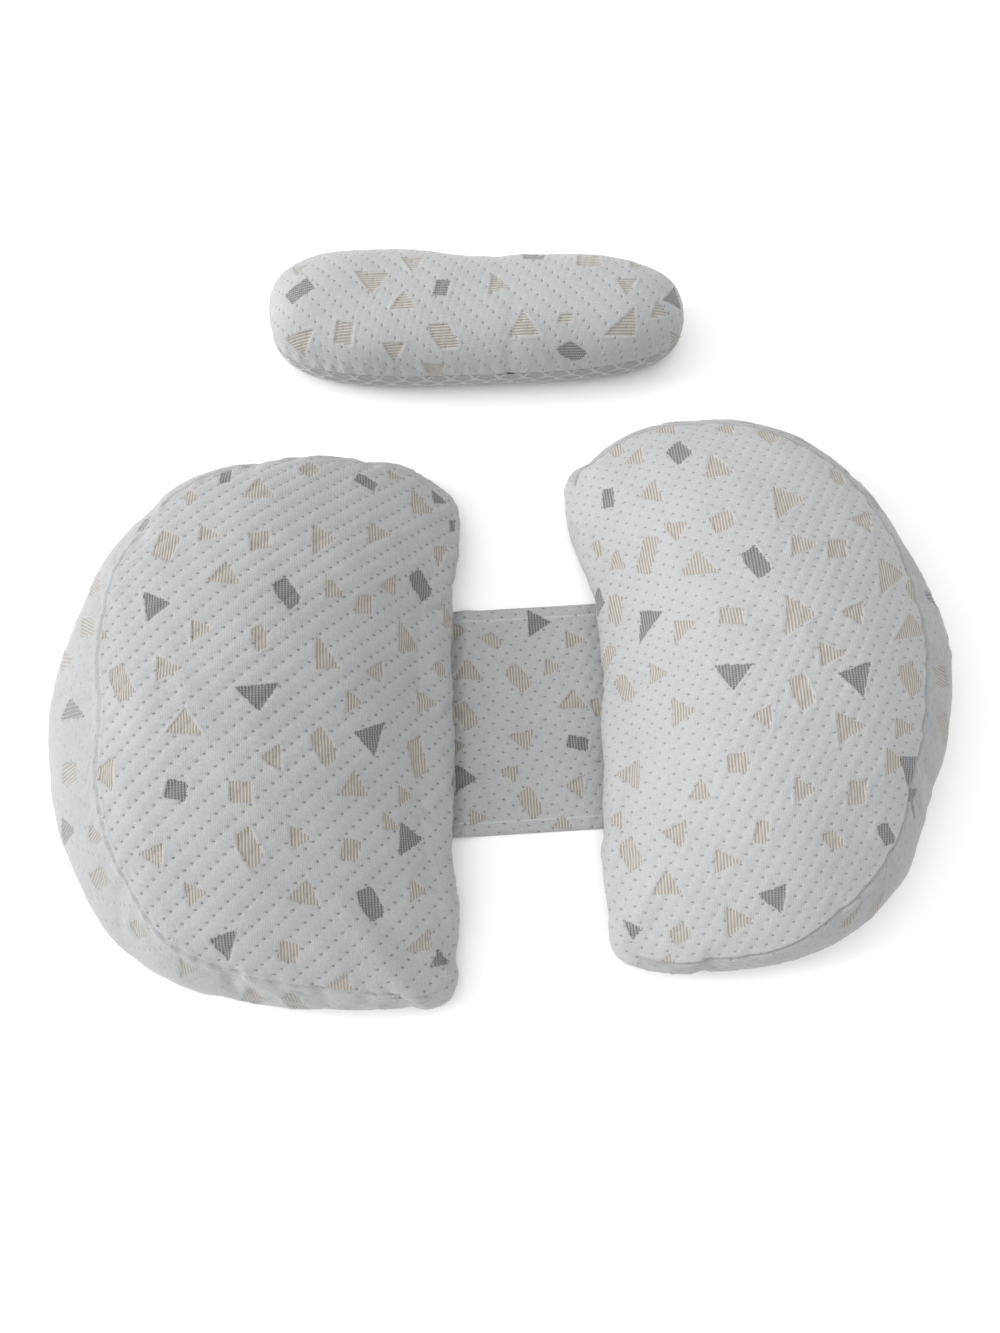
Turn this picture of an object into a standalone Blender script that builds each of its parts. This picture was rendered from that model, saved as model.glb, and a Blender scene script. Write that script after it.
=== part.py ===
"""A pregnancy pillow: two half-moon wedges joined by a flat hemmed band, with a small oblong pillow beside them.

Lengths are in metres, +Z is up, and everything rests on the plane z = 0. The origin is under the middle of the set.
"""

import math

import bpy
import numpy as np

GAP = 0.0003

# Places below are measured from a point between the wedges. The origin is under the middle of the whole set.
SET_MIDDLE = (-0.0019, 0.0609, 0.0)

# Wedges. Each half moon is described by sections around a centre, a row for each.
# angle: degrees, anticlockwise from +X. reach: centre to the widest point. inset: from there back to the edge
# of the top panel. seam: height of that edge. middle: height of the widest point. Lengths are in millimetres.
# The corners are the angles between which, anticlockwise, the curved side has a sewn-in gusset.
WEDGE_COLUMNS = ("angle", "reach", "inset", "seam", "middle")
CROWN_HEIGHT = 0.108
RING_POWER = 1.25
BASE_INSET = 0.020
GUSSET_CREASE = math.radians(8.0)

LEFT_CENTRE = (-0.225, -0.030)
LEFT_CORNERS = (46, 308)
LEFT_SECTIONS = (
    (0, 188, 26, 50, 24),
    (15, 195, 26, 49, 24),
    (27, 214, 25, 46, 23),
    (36, 243, 20, 40, 21),
    (43, 262, 12, 32, 18),
    (51, 263, 10, 36, 20),
    (62, 249, 11, 46, 24),
    (78, 225, 14, 58, 28),
    (95, 204, 19, 68, 32),
    (112, 178, 27, 74, 34),
    (134, 151, 40, 79, 32),
    (160, 129, 47, 81, 30),
    (183, 126, 50, 83, 28),
    (215, 139, 47, 80, 30),
    (234, 156, 45, 78, 32),
    (248, 179, 41, 74, 34),
    (262, 198, 27, 68, 32),
    (278, 217, 19, 58, 28),
    (292, 239, 14, 46, 24),
    (302, 268, 11, 36, 20),
    (308, 280, 10, 28, 16),
    (315, 256, 18, 36, 19),
    (324, 224, 24, 44, 22),
    (338, 199, 26, 49, 24),
)

RIGHT_CENTRE = (0.220, -0.015)
RIGHT_CORNERS = (238, 131)
RIGHT_SECTIONS = (
    (0, 127, 35, 80, 34),
    (20, 130, 33, 79, 34),
    (41, 141, 28, 77, 34),
    (62, 170, 25, 72, 33),
    (81, 202, 20, 64, 30),
    (100, 221, 14, 54, 27),
    (115, 233, 10, 44, 23),
    (124, 237, 9, 34, 19),
    (130, 237, 10, 30, 17),
    (136, 215, 18, 37, 20),
    (143, 187, 23, 43, 21),
    (151, 166, 25, 47, 23),
    (160, 152, 26, 50, 24),
    (171, 142, 26, 50, 24),
    (182, 141, 26, 50, 24),
    (192, 148, 26, 50, 24),
    (206, 164, 25, 49, 24),
    (218, 192, 23, 46, 23),
    (228, 227, 18, 40, 21),
    (236, 258, 11, 32, 18),
    (242, 256, 9, 34, 19),
    (250, 242, 9, 40, 21),
    (262, 227, 11, 50, 25),
    (274, 212, 20, 60, 28),
    (290, 185, 25, 68, 31),
    (304, 164, 30, 74, 33),
    (320, 147, 35, 78, 34),
    (342, 130, 35, 80, 34),
)

WEDGE_SEGMENTS = 88
CROWN_RINGS = 10
SIDE_RINGS = 7
FOOT_RINGS = 4

# Band between the wedges, tucked under both.
BAND_LEFT = -0.110
BAND_RIGHT = 0.150
BAND_FRONT = -0.1285
BAND_BACK = 0.0590
BAND_THICKNESS = 0.0025
HEM_THICKNESS = 0.0030
HEM_WIDTH = 0.010
CREASE_BACK_X = -0.012
CREASE_FRONT_X = -0.023
CREASE_WIDTH = 0.026
CREASE_RISE = 0.0025
POCKET_MARGIN = 0.002
POCKET_REACH = 0.080
BAND_COLUMNS = 40
BAND_ROWS = 8

# Small pillow.
SMALL_CENTRE = (0.0004, 0.3180)
SMALL_HALF_LENGTH = 0.1775
SMALL_HALF_DEPTH = 0.0575
SMALL_SQUARENESS = 2.7
SMALL_TAPER = 0.0050
SMALL_TURN = 0.0100
WAIST_X = 0.010
WAIST_WIDTH = 0.050
WAIST_DEPTH = 0.0075
SMALL_SPINE = 0.62
SMALL_SEAM_HEIGHT = 0.040
SMALL_HEIGHT = 0.078
SMALL_CROWN_POWER = 2.4
SMALL_FOOT_INSET = 0.022
SMALL_SEAM_INSET = 0.0020
SMALL_SEGMENTS = 72
BASE_CLOTH = 0.0020

MATERIALS = {
    "patterned_knit": {"colour": (0.74, 0.74, 0.73, 1.0), "roughness": 0.90},
    "band_knit": {"colour": (0.68, 0.68, 0.67, 1.0), "roughness": 0.90},
    "honeycomb_knit": {"colour": (0.62, 0.63, 0.64, 1.0), "roughness": 0.85},
}


def clear_scene():
    for old in list(bpy.data.objects):
        bpy.data.objects.remove(old, do_unlink=True)


def make_material(name):
    values = MATERIALS[name]
    material = bpy.data.materials.new(name)
    material.use_nodes = True
    shader = material.node_tree.nodes["Principled BSDF"]
    shader.inputs["Base Color"].default_value = values["colour"]
    shader.inputs["Roughness"].default_value = values["roughness"]
    shader.inputs["Metallic"].default_value = 0.0
    material.diffuse_color = values["colour"]
    return material


def add_object(name, points, faces, material):
    mesh = bpy.data.meshes.new(name)
    places = np.array(points, float) - SET_MIDDLE
    mesh.from_pydata(places.tolist(), [], faces)
    mesh.validate()
    mesh.update()
    mesh.shade_smooth()
    mesh.set_sharp_from_angle(angle=math.radians(40))
    mesh.materials.append(make_material(material))
    made = bpy.data.objects.new(name, mesh)
    bpy.context.scene.collection.objects.link(made)
    return made


def closed_curve(xs, values, at, period):
    """A smooth closed curve through the values at xs, read at other places."""
    xs = np.concatenate([xs[-2:] - period, xs, xs[:2] + period])
    values = np.concatenate([values[-2:], values, values[:2]])
    step = np.diff(xs)
    slope = np.diff(values) / step
    tangent = (slope[:-1] * step[1:] + slope[1:] * step[:-1]) / (step[1:] + step[:-1])
    at = np.mod(at, period)
    i = np.clip(np.searchsorted(xs, at, side="right") - 1, 1, len(xs) - 3)
    t = (at - xs[i]) / step[i]
    start = tangent[i - 1] * step[i]
    end = tangent[i] * step[i]
    rise = values[i + 1] - values[i]
    return values[i] + t * (start + t * (3 * rise - 2 * start - end + t * (start + end - 2 * rise)))


def wedge_sections(table, angles):
    """The named columns of a wedge's table at the given angles, in metres."""
    rows = np.array(table, float)
    order = np.argsort(rows[:, 0])
    rows = rows[order]
    found = {}
    for column, name in enumerate(WEDGE_COLUMNS[1:], start=1):
        found[name] = closed_curve(rows[:, 0], rows[:, column], angles, 360.0) / 1000
    return found


def even_angles(table, count):
    """Angles whose outline points are evenly spaced along the outline."""
    angles = np.linspace(0.0, 360.0, 1441)
    reach = wedge_sections(table, angles)["reach"]
    outline = np.stack([reach * np.cos(np.radians(angles)), reach * np.sin(np.radians(angles))], 1)
    length = np.concatenate([[0.0], np.cumsum(np.linalg.norm(np.diff(outline, axis=0), axis=1))])
    return np.interp(np.arange(count) * length[-1] / count, length, angles)


def bezier(p0, p1, p2, p3, t):
    return (1 - t) ** 3 * p0 + 3 * (1 - t) ** 2 * t * p1 + 3 * (1 - t) * t**2 * p2 + t**3 * p3


def on_gusset(angles, corners):
    """1 along the curved side, which has a gusset, and 0 along the straight inner side."""
    first, last = corners
    return (np.mod(angles - first, 360.0) < np.mod(last - first, 360.0)).astype(float)


def blown_up(points, faces, heights, free, crown):
    """Heights of a panel that its filling pushes up to the crown, between the edge points that hold it down."""
    pull = np.zeros((len(points), len(points)))
    load = np.zeros(len(points))
    for corner in range(3):
        here, there, tip = (faces[:, (corner + step) % 3] for step in range(3))
        first = points[here] - points[tip]
        second = points[there] - points[tip]
        twice_area = first[:, 0] * second[:, 1] - first[:, 1] * second[:, 0]
        weight = (first * second).sum(1) / twice_area / 2
        np.add.at(pull, (here, there), weight)
        np.add.at(pull, (there, here), weight)
        np.add.at(load, tip, twice_area / 6)
    np.fill_diagonal(pull, -pull.sum(axis=1))
    inside = pull[:free, :free]
    slack = np.linalg.solve(inside, -pull[:free, free:] @ heights)
    push = np.linalg.solve(inside, -load[:free])
    return slack + push * np.min((crown - slack) / push)


def top_panel(centre_rings, heights):
    """Heights of the panel's rings, and of its middle, from the flat rings and the heights of the last one."""
    count = len(heights)
    points = np.concatenate([np.zeros((1, 2))] + centre_rings)
    i = np.arange(count)
    j = (i + 1) % count
    faces = [np.stack([np.zeros(count, int), 1 + i, 1 + j], 1)]
    for ring in range(len(centre_rings) - 1):
        upper = 1 + ring * count
        lower = upper + count
        faces.append(np.stack([upper + i, lower + i, lower + j], 1))
        faces.append(np.stack([upper + i, lower + j, upper + j], 1))
    free = 1 + (len(centre_rings) - 1) * count
    found = blown_up(points, np.concatenate(faces), heights, free, CROWN_HEIGHT)
    return found[0], found[1:].reshape(-1, count)


def wedge_rings(table, angles, gusset):
    """The middle's height, and rings of (reach, height) from near the crown, over the side, down to the base."""
    sections = wedge_sections(table, angles)
    out = np.stack([np.cos(np.radians(angles)), np.sin(np.radians(angles))], 1)
    seam_reach = sections["reach"] - sections["inset"]
    shares = 1 - (1 - np.arange(1, CROWN_RINGS + 1) / CROWN_RINGS) ** RING_POWER
    flat = [out * (seam_reach * share)[:, None] for share in shares]
    middle, heights = top_panel(flat, sections["seam"])
    rings = [(seam_reach * share, height) for share, height in zip(shares, heights)]
    rings.append((seam_reach, sections["seam"]))
    slope = np.arctan((heights[-1] - sections["seam"]) / (seam_reach * (1 - shares[-2])))
    slope += GUSSET_CREASE * gusset
    fall = sections["seam"] - sections["middle"]
    lead = 0.40 * np.hypot(sections["inset"], fall)
    reach_points = (seam_reach, seam_reach + lead * np.cos(slope), sections["reach"], sections["reach"])
    height_points = (
        sections["seam"],
        sections["seam"] - lead * np.sin(slope),
        sections["middle"] + 0.45 * fall,
        sections["middle"],
    )
    for t in np.arange(1, SIDE_RINGS + 1) / SIDE_RINGS:
        rings.append((bezier(*reach_points, t), bezier(*height_points, t)))
    for turn in np.arange(1, FOOT_RINGS + 1) / FOOT_RINGS * math.pi / 2:
        reach = sections["reach"] - BASE_INSET * (1 - math.cos(turn))
        rings.append((reach, sections["middle"] * (1 - math.sin(turn))))
    return middle, rings


def closed_by_fans(rings, top, bottom):
    """Points and faces of rings of points joined in order, closed by a fan at each end."""
    count = len(rings[0])
    points = [top]
    for ring in rings:
        points.extend(ring)
    points.append(bottom)
    faces = []
    last = 1 + (len(rings) - 1) * count
    for i in range(count):
        j = (i + 1) % count
        faces.append((0, 1 + i, 1 + j))
        faces.append((len(points) - 1, last + j, last + i))
        for ring in range(len(rings) - 1):
            upper = 1 + ring * count
            lower = upper + count
            faces.append((upper + i, lower + i, lower + j, upper + j))
    return points, faces


def make_wedge(name, centre, table, corners):
    angles = even_angles(table, WEDGE_SEGMENTS)
    across = np.cos(np.radians(angles))
    along = np.sin(np.radians(angles))
    middle, sides = wedge_rings(table, angles, on_gusset(angles, corners))
    rings = []
    for reach, height in sides:
        rings.append(np.stack([centre[0] + reach * across, centre[1] + reach * along, height], 1))
    points, faces = closed_by_fans(rings, (*centre, middle), (*centre, 0.0))
    return add_object(name, points, faces, "patterned_knit")


def cut_pocket(wedge, left, right):
    """A shallow pocket in the wedge's base, where the band lies under it."""
    low = (left, BAND_FRONT - POCKET_MARGIN, -0.010)
    high = (right, BAND_BACK + POCKET_MARGIN, HEM_THICKNESS + GAP)
    corners = [(x, y, z) for x in (low[0], high[0]) for y in (low[1], high[1]) for z in (low[2], high[2])]
    faces = [(0, 1, 3, 2), (4, 6, 7, 5), (0, 4, 5, 1), (2, 3, 7, 6), (0, 2, 6, 4), (1, 5, 7, 3)]
    cutter = add_object(wedge.name + "_pocket_cutter", corners, faces, "patterned_knit")
    cutter.hide_render = True
    cutter.display_type = "WIRE"
    cut = wedge.modifiers.new("band_pocket", "BOOLEAN")
    cut.operation = "DIFFERENCE"
    cut.object = cutter


def smooth_step(value):
    value = np.clip(value, 0.0, 1.0)
    return value * value * (3 - 2 * value)


def band_lift(x, y):
    """Height of the soft fold beside the left wedge. Its foot runs slantwise from back to front."""
    share = (y - BAND_FRONT) / (BAND_BACK - BAND_FRONT)
    foot = CREASE_FRONT_X + (CREASE_BACK_X - CREASE_FRONT_X) * share
    inward = (foot - x) / CREASE_WIDTH
    return CREASE_RISE * smooth_step(2 * inward) * smooth_step(2 - 2 * inward)


def make_band():
    middle_rows = np.linspace(BAND_FRONT + HEM_WIDTH + 0.001, BAND_BACK - HEM_WIDTH - 0.001, BAND_ROWS)
    front_rows = (BAND_FRONT, BAND_FRONT + 0.0008, BAND_FRONT + HEM_WIDTH)
    back_rows = (BAND_BACK - HEM_WIDTH, BAND_BACK - 0.0008, BAND_BACK)
    ys = np.concatenate([front_rows, middle_rows, back_rows])
    edge = np.minimum(ys - BAND_FRONT, BAND_BACK - ys)
    thickness = np.where(edge <= HEM_WIDTH + 1e-6, HEM_THICKNESS, BAND_THICKNESS)
    thickness = np.where(edge < 1e-6, 0.6 * HEM_THICKNESS, thickness)
    xs = np.linspace(BAND_LEFT, BAND_RIGHT, BAND_COLUMNS + 1)
    points = []
    for x in xs:
        lift = band_lift(x, ys)
        points.extend(zip(np.full(len(ys), x), ys, lift + thickness))
        points.extend(zip(np.full(len(ys), x), ys, lift))
    rows = len(ys)
    faces = []
    for column in range(BAND_COLUMNS):
        here = column * 2 * rows
        there = here + 2 * rows
        for row in range(rows - 1):
            faces.append((here + row, there + row, there + row + 1, here + row + 1))
            under = here + rows + row
            faces.append((under, under + 1, under + 1 + 2 * rows, under + 2 * rows))
        faces.append((here, here + rows, there + rows, there))
        faces.append((here + rows - 1, there + rows - 1, there + 2 * rows - 1, here + 2 * rows - 1))
    for row in range(rows - 1):
        faces.append((row, row + 1, rows + row + 1, rows + row))
        end = BAND_COLUMNS * 2 * rows
        faces.append((end + row, end + rows + row, end + rows + row + 1, end + row + 1))
    return add_object("connecting_band", points, faces, "band_knit")


def small_outline(count):
    """Outline of the small pillow, evenly spaced, and the spine that it is filled around."""
    turn = np.linspace(0.0, 2 * math.pi, 2001)
    power = 2 / SMALL_SQUARENESS
    along = np.sign(np.cos(turn)) * np.abs(np.cos(turn)) ** power
    across = np.sign(np.sin(turn)) * np.abs(np.sin(turn)) ** power
    x = SMALL_HALF_LENGTH * along
    y = (SMALL_HALF_DEPTH - SMALL_TAPER * along) * across - SMALL_TURN * along
    waist = np.exp(-(((x - WAIST_X) / WAIST_WIDTH) ** 2))
    y -= WAIST_DEPTH * waist * np.clip(across, 0.0, 1.0)
    length = np.concatenate([[0.0], np.cumsum(np.hypot(np.diff(x), np.diff(y)))])
    at = (np.arange(count) + 0.5) * length[-1] / count
    outline = np.stack([np.interp(at, length, x), np.interp(at, length, y)], 1)
    spine_x = outline[:, 0] * SMALL_SPINE
    spine = np.stack([spine_x, -SMALL_TURN * spine_x / SMALL_HALF_LENGTH], 1)
    return outline, spine


def small_rings(shares, heights, inward):
    """Rings of the small pillow. A share is 0 on the spine and 1 at the outline, inward is a distance off the outline."""
    outline, spine = small_outline(SMALL_SEGMENTS)
    out = outline - spine
    size = np.linalg.norm(out, axis=1, keepdims=True)
    rings = []
    for share, height, distance in zip(shares, heights, inward):
        flat = spine + out * share * (1 - distance / size)
        z = np.full((len(flat), 1), height)
        rings.append(np.hstack([flat + np.array(SMALL_CENTRE), z]))
    return rings


def small_crown():
    """Shares and heights from near the spine out to the seam."""
    turn = np.linspace(0.10, 1.0, 9) * math.pi / 2
    shares = np.sin(turn) ** (2 / SMALL_CROWN_POWER)
    heights = SMALL_SEAM_HEIGHT + (SMALL_HEIGHT - SMALL_SEAM_HEIGHT) * np.cos(turn) ** (2 / SMALL_CROWN_POWER)
    return shares, heights


def small_foot(inside):
    """Distances off the outline and heights from the seam down to the base, moved inside by a cloth's thickness."""
    turn = np.linspace(0.0, 1.0, 8) * math.pi / 2
    distance = inside + SMALL_FOOT_INSET * (1 - np.cos(turn) ** 0.9)
    height = inside + (SMALL_SEAM_HEIGHT - inside) * (1 - np.sin(turn))
    return distance, height


def small_middle(height):
    return (SMALL_CENTRE[0], SMALL_CENTRE[1], height)


def make_small_pillow():
    """The filled pillow. Below its seam it is thinner all round by the cloth of its underside."""
    shares, heights = small_crown()
    heights = np.append(heights, SMALL_SEAM_HEIGHT - SMALL_SEAM_INSET)
    shares = np.append(shares, 1.0)
    crown = small_rings(shares, heights, np.zeros(len(shares)))
    distance, height = small_foot(BASE_CLOTH + GAP)
    height = np.minimum(height, SMALL_SEAM_HEIGHT - SMALL_SEAM_INSET)
    foot = small_rings(np.ones(len(height)), height, distance)
    points, faces = closed_by_fans(
        crown + foot, small_middle(SMALL_HEIGHT), small_middle(BASE_CLOTH + GAP)
    )
    return add_object("small_pillow", points, faces, "patterned_knit")


def make_small_base():
    """The underside's own cloth: a shallow bowl from under the seam down to the floor."""
    rim = SMALL_SEAM_HEIGHT - SMALL_SEAM_INSET - GAP
    inner_distance, inner_height = small_foot(BASE_CLOTH)
    outer_distance, outer_height = small_foot(0.0)
    inner = small_rings(np.ones(8), np.minimum(inner_height, rim), inner_distance)
    outer = small_rings(np.ones(8), np.minimum(outer_height, rim), outer_distance)
    points, faces = closed_by_fans(
        inner[::-1] + outer, small_middle(BASE_CLOTH), small_middle(0.0)
    )
    return add_object("small_pillow_base", points, faces, "honeycomb_knit")


def main():
    clear_scene()
    left = make_wedge("left_wedge", LEFT_CENTRE, LEFT_SECTIONS, LEFT_CORNERS)
    right = make_wedge("right_wedge", RIGHT_CENTRE, RIGHT_SECTIONS, RIGHT_CORNERS)
    cut_pocket(left, BAND_LEFT - POCKET_MARGIN, BAND_LEFT + 2 * POCKET_REACH)
    cut_pocket(right, BAND_RIGHT - 2 * POCKET_REACH, BAND_RIGHT + POCKET_MARGIN)
    make_band()
    make_small_pillow()
    make_small_base()


main()
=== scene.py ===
"""A pregnancy pillow set in knitted covers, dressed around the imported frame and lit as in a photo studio.

Lengths are in metres and +Z is up. The tables of sizes follow those of the solids within a few millimetres.
Each cushion is a grid of points in rings from its crown down to its base. A cloth simulation presses the
covers of the wedges out, and every cover has the relief of its knit: puffs between the tucked dots, sunken
chips, seams and puckers.
"""

import math

import bpy
import numpy as np
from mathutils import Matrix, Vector


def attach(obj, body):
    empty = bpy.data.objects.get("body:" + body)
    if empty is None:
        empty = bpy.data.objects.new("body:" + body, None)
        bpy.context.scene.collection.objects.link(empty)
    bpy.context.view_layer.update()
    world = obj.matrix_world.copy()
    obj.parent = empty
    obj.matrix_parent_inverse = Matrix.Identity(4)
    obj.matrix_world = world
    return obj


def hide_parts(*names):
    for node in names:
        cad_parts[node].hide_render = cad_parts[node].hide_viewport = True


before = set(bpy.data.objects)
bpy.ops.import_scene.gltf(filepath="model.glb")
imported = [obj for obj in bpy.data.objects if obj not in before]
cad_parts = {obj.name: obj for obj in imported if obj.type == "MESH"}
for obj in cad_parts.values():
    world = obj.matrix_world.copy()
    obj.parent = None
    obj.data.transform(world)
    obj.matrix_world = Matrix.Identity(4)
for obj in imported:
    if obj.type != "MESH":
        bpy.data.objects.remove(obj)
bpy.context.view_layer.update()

MM = 0.001
# Clearance between pieces that lie on one another
GAP = 0.0003
# Middle of the whole set, which the frame puts at its origin
SET_MIDDLE = (-0.0019, 0.0609, 0.0)

# Sections of the wedges: angle in degrees, the rest in millimetres. reach goes from the centre out to the
# widest line, and inset from there back to the seam. seam and middle are the heights of these two.
WEDGE_COLUMNS = ("angle", "reach", "inset", "seam", "middle")
CROWN_HEIGHT = 0.108
RING_POWER = 1.25
BASE_INSET = 0.020
SIDE_LEAD = 0.40
SIDE_BULGE = 0.45
GUSSET_CREASE = math.radians(15.0)

LEFT_CENTRE = (-0.225, -0.030)
LEFT_CORNERS = (46, 308)
LEFT_SECTIONS = (
    (0, 188, 26, 50, 24),
    (15, 195, 26, 49, 24),
    (27, 215, 25, 46, 23),
    (36, 245, 20, 40, 21),
    (43, 266, 12, 32, 18),
    (51, 266, 10, 36, 20),
    (62, 249, 11, 46, 24),
    (78, 224, 14, 58, 28),
    (95, 201, 19, 68, 32),
    (112, 172, 27, 74, 34),
    (134, 143, 39, 79, 32),
    (160, 127, 49, 81, 30),
    (183, 126, 55, 83, 28),
    (215, 137, 48, 80, 30),
    (234, 156, 45, 78, 32),
    (248, 178, 42, 74, 34),
    (262, 196, 27, 68, 32),
    (278, 217, 19, 58, 28),
    (292, 239, 14, 46, 24),
    (302, 264, 11, 36, 20),
    (308, 280, 10, 28, 16),
    (315, 256, 18, 36, 19),
    (324, 224, 24, 44, 22),
    (338, 199, 26, 49, 24),
)

RIGHT_CENTRE = (0.220, -0.015)
RIGHT_CORNERS = (238, 131)
RIGHT_SECTIONS = (
    (0, 131, 32, 80, 34),
    (20, 134, 30, 79, 34),
    (41, 143, 23, 77, 34),
    (62, 170, 21, 72, 33),
    (81, 202, 20, 64, 30),
    (100, 223, 14, 54, 27),
    (115, 235, 10, 44, 23),
    (124, 237, 9, 34, 19),
    (130, 237, 10, 30, 17),
    (136, 217, 19, 37, 20),
    (143, 189, 24, 43, 21),
    (151, 164, 25, 47, 23),
    (160, 149, 26, 50, 24),
    (171, 142, 26, 50, 24),
    (182, 141, 26, 50, 24),
    (192, 148, 26, 50, 24),
    (206, 164, 25, 49, 24),
    (218, 192, 23, 46, 23),
    (228, 227, 18, 40, 21),
    (236, 258, 9, 32, 18),
    (242, 254, 6, 34, 19),
    (250, 240, 6, 40, 21),
    (262, 227, 9, 50, 25),
    (274, 212, 20, 60, 28),
    (290, 185, 25, 68, 31),
    (304, 159, 29, 74, 33),
    (320, 143, 31, 78, 34),
    (342, 131, 32, 80, 34),
)

WEDGE_SEGMENTS = 88
CROWN_RINGS = 10
SIDE_RINGS = 7
FOOT_RINGS = 4
BASE_RINGS = 3
SEAM_RING = CROWN_RINGS
WIDEST_RING = CROWN_RINGS + SIDE_RINGS
FLOOR_RING = CROWN_RINGS + SIDE_RINGS + FOOT_RINGS

# Band between the wedges
BAND_LEFT = -0.110
BAND_RIGHT = 0.150
BAND_FRONT = -0.1285
BAND_BACK = 0.0590
FLOOR_CLEARANCE = 0.00002
BAND_THICKNESS = 0.0025
HEM_THICKNESS = 0.0030
HEM_WIDTH = 0.010
EDGE_WIDTH = 0.0022
EDGE_SHARE = 0.35
FOLD_BACK_X = -0.012
FOLD_FRONT_X = -0.023
FOLD_WIDTH = 0.026
FOLD_RISE = 0.0025
POCKET_MARGIN = 0.002

# Small pillow
SMALL_CENTRE = (-0.0006, 0.3190)
SMALL_HALF_LENGTH = 0.1775
SMALL_HALF_DEPTH = 0.0575
SMALL_SQUARENESS = 3.1
SMALL_TAPER = 0.0060
SMALL_TURN = 0.0100
WAIST_X = 0.010
WAIST_WIDTH = 0.050
WAIST_DEPTH = 0.0085
SMALL_SPINE = 0.62
LEAST_SPINE_SHARE = 0.012
SMALL_SEAM_HEIGHT = 0.035
SMALL_HEIGHT = 0.078
SMALL_CROWN_POWER = 2.4
SMALL_ROUNDING = 0.9
SMALL_FOOT_INSET = 0.022
SMALL_SEAM_INSET = 0.0020
BASE_CLOTH = 0.0020

# Honeycomb knit: overlapping cells with round tops and raised rims
CELL_WIDTH = 0.021
CELL_ROW = 0.0088
RIM_WIDTH = 0.0015
RIM_HEIGHT = 0.0013
RIM_LIMITS = (0.0012, 0.0007)
CELL_DEPTH = 0.0002
RIM_CALM = 0.003
BASE_CALM = 0.004
MESH_STEP = 0.0016
MESH_FUZZ = 0.0001
HOLE_DEPTH = 0.00012
HOLE_LIMITS = (-0.3, 0.5)

# How fine the shown meshes are
FINE_COLUMNS = 560
FINE_STEP = 0.0023
SEAM_STEP = 0.0009
SEAM_ZONE = 0.006
BASE_STEP = 0.018
BAND_STATIONS = 250
BAND_WIDTHS = 128
SMALL_COLUMNS = 520
SMALL_ROWS = 58
HIDDEN_FOOT_ROWS = 14
INNER_BASE_ROWS = 10
OUTER_BASE_ROWS = 44
OUTLINE_SAMPLES = 1441
LENGTH_SAMPLES = 6001
SMALL_SAMPLES = 4001

# Cloth simulation
CLOTH_COLUMNS = 176
CLOTH_STEP = 0.008
CLOTH_FRAMES = 18
CLOTH_PRESSURE = 3.0
CLOTH_SLACK = 0.018
MOST_MOVE = 0.0032
CROWN_ZONE = 0.070
SEAM_HOLD = 0.30
SEAM_HOLD_RINGS = 0.6

# Camera, as worked out from the photograph
CAMERA_PLACE = (-0.0165, -0.3539, 0.9335)
CAMERA_TARGET = (0.0019, -0.0609, 0.03)
CAMERA_LENS = 32.48
SENSOR_SIZE = 36
PHOTO_WIDTH = 1000
PHOTO_HEIGHT = 1333
FOCAL_PIXELS = CAMERA_LENS / SENSOR_SIZE * PHOTO_HEIGHT

# The knit's lattices of tucked dots: two steps from dot to dot, in millimetres
WIDE_LATTICE = ((13.2, -4.6), (5.3, 4.7))
TIGHT_LATTICE = ((7.4, -5.0), (4.2, 7.0))
TURNED_LATTICE = ((4.6, 13.2), (-4.7, 5.3))

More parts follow.
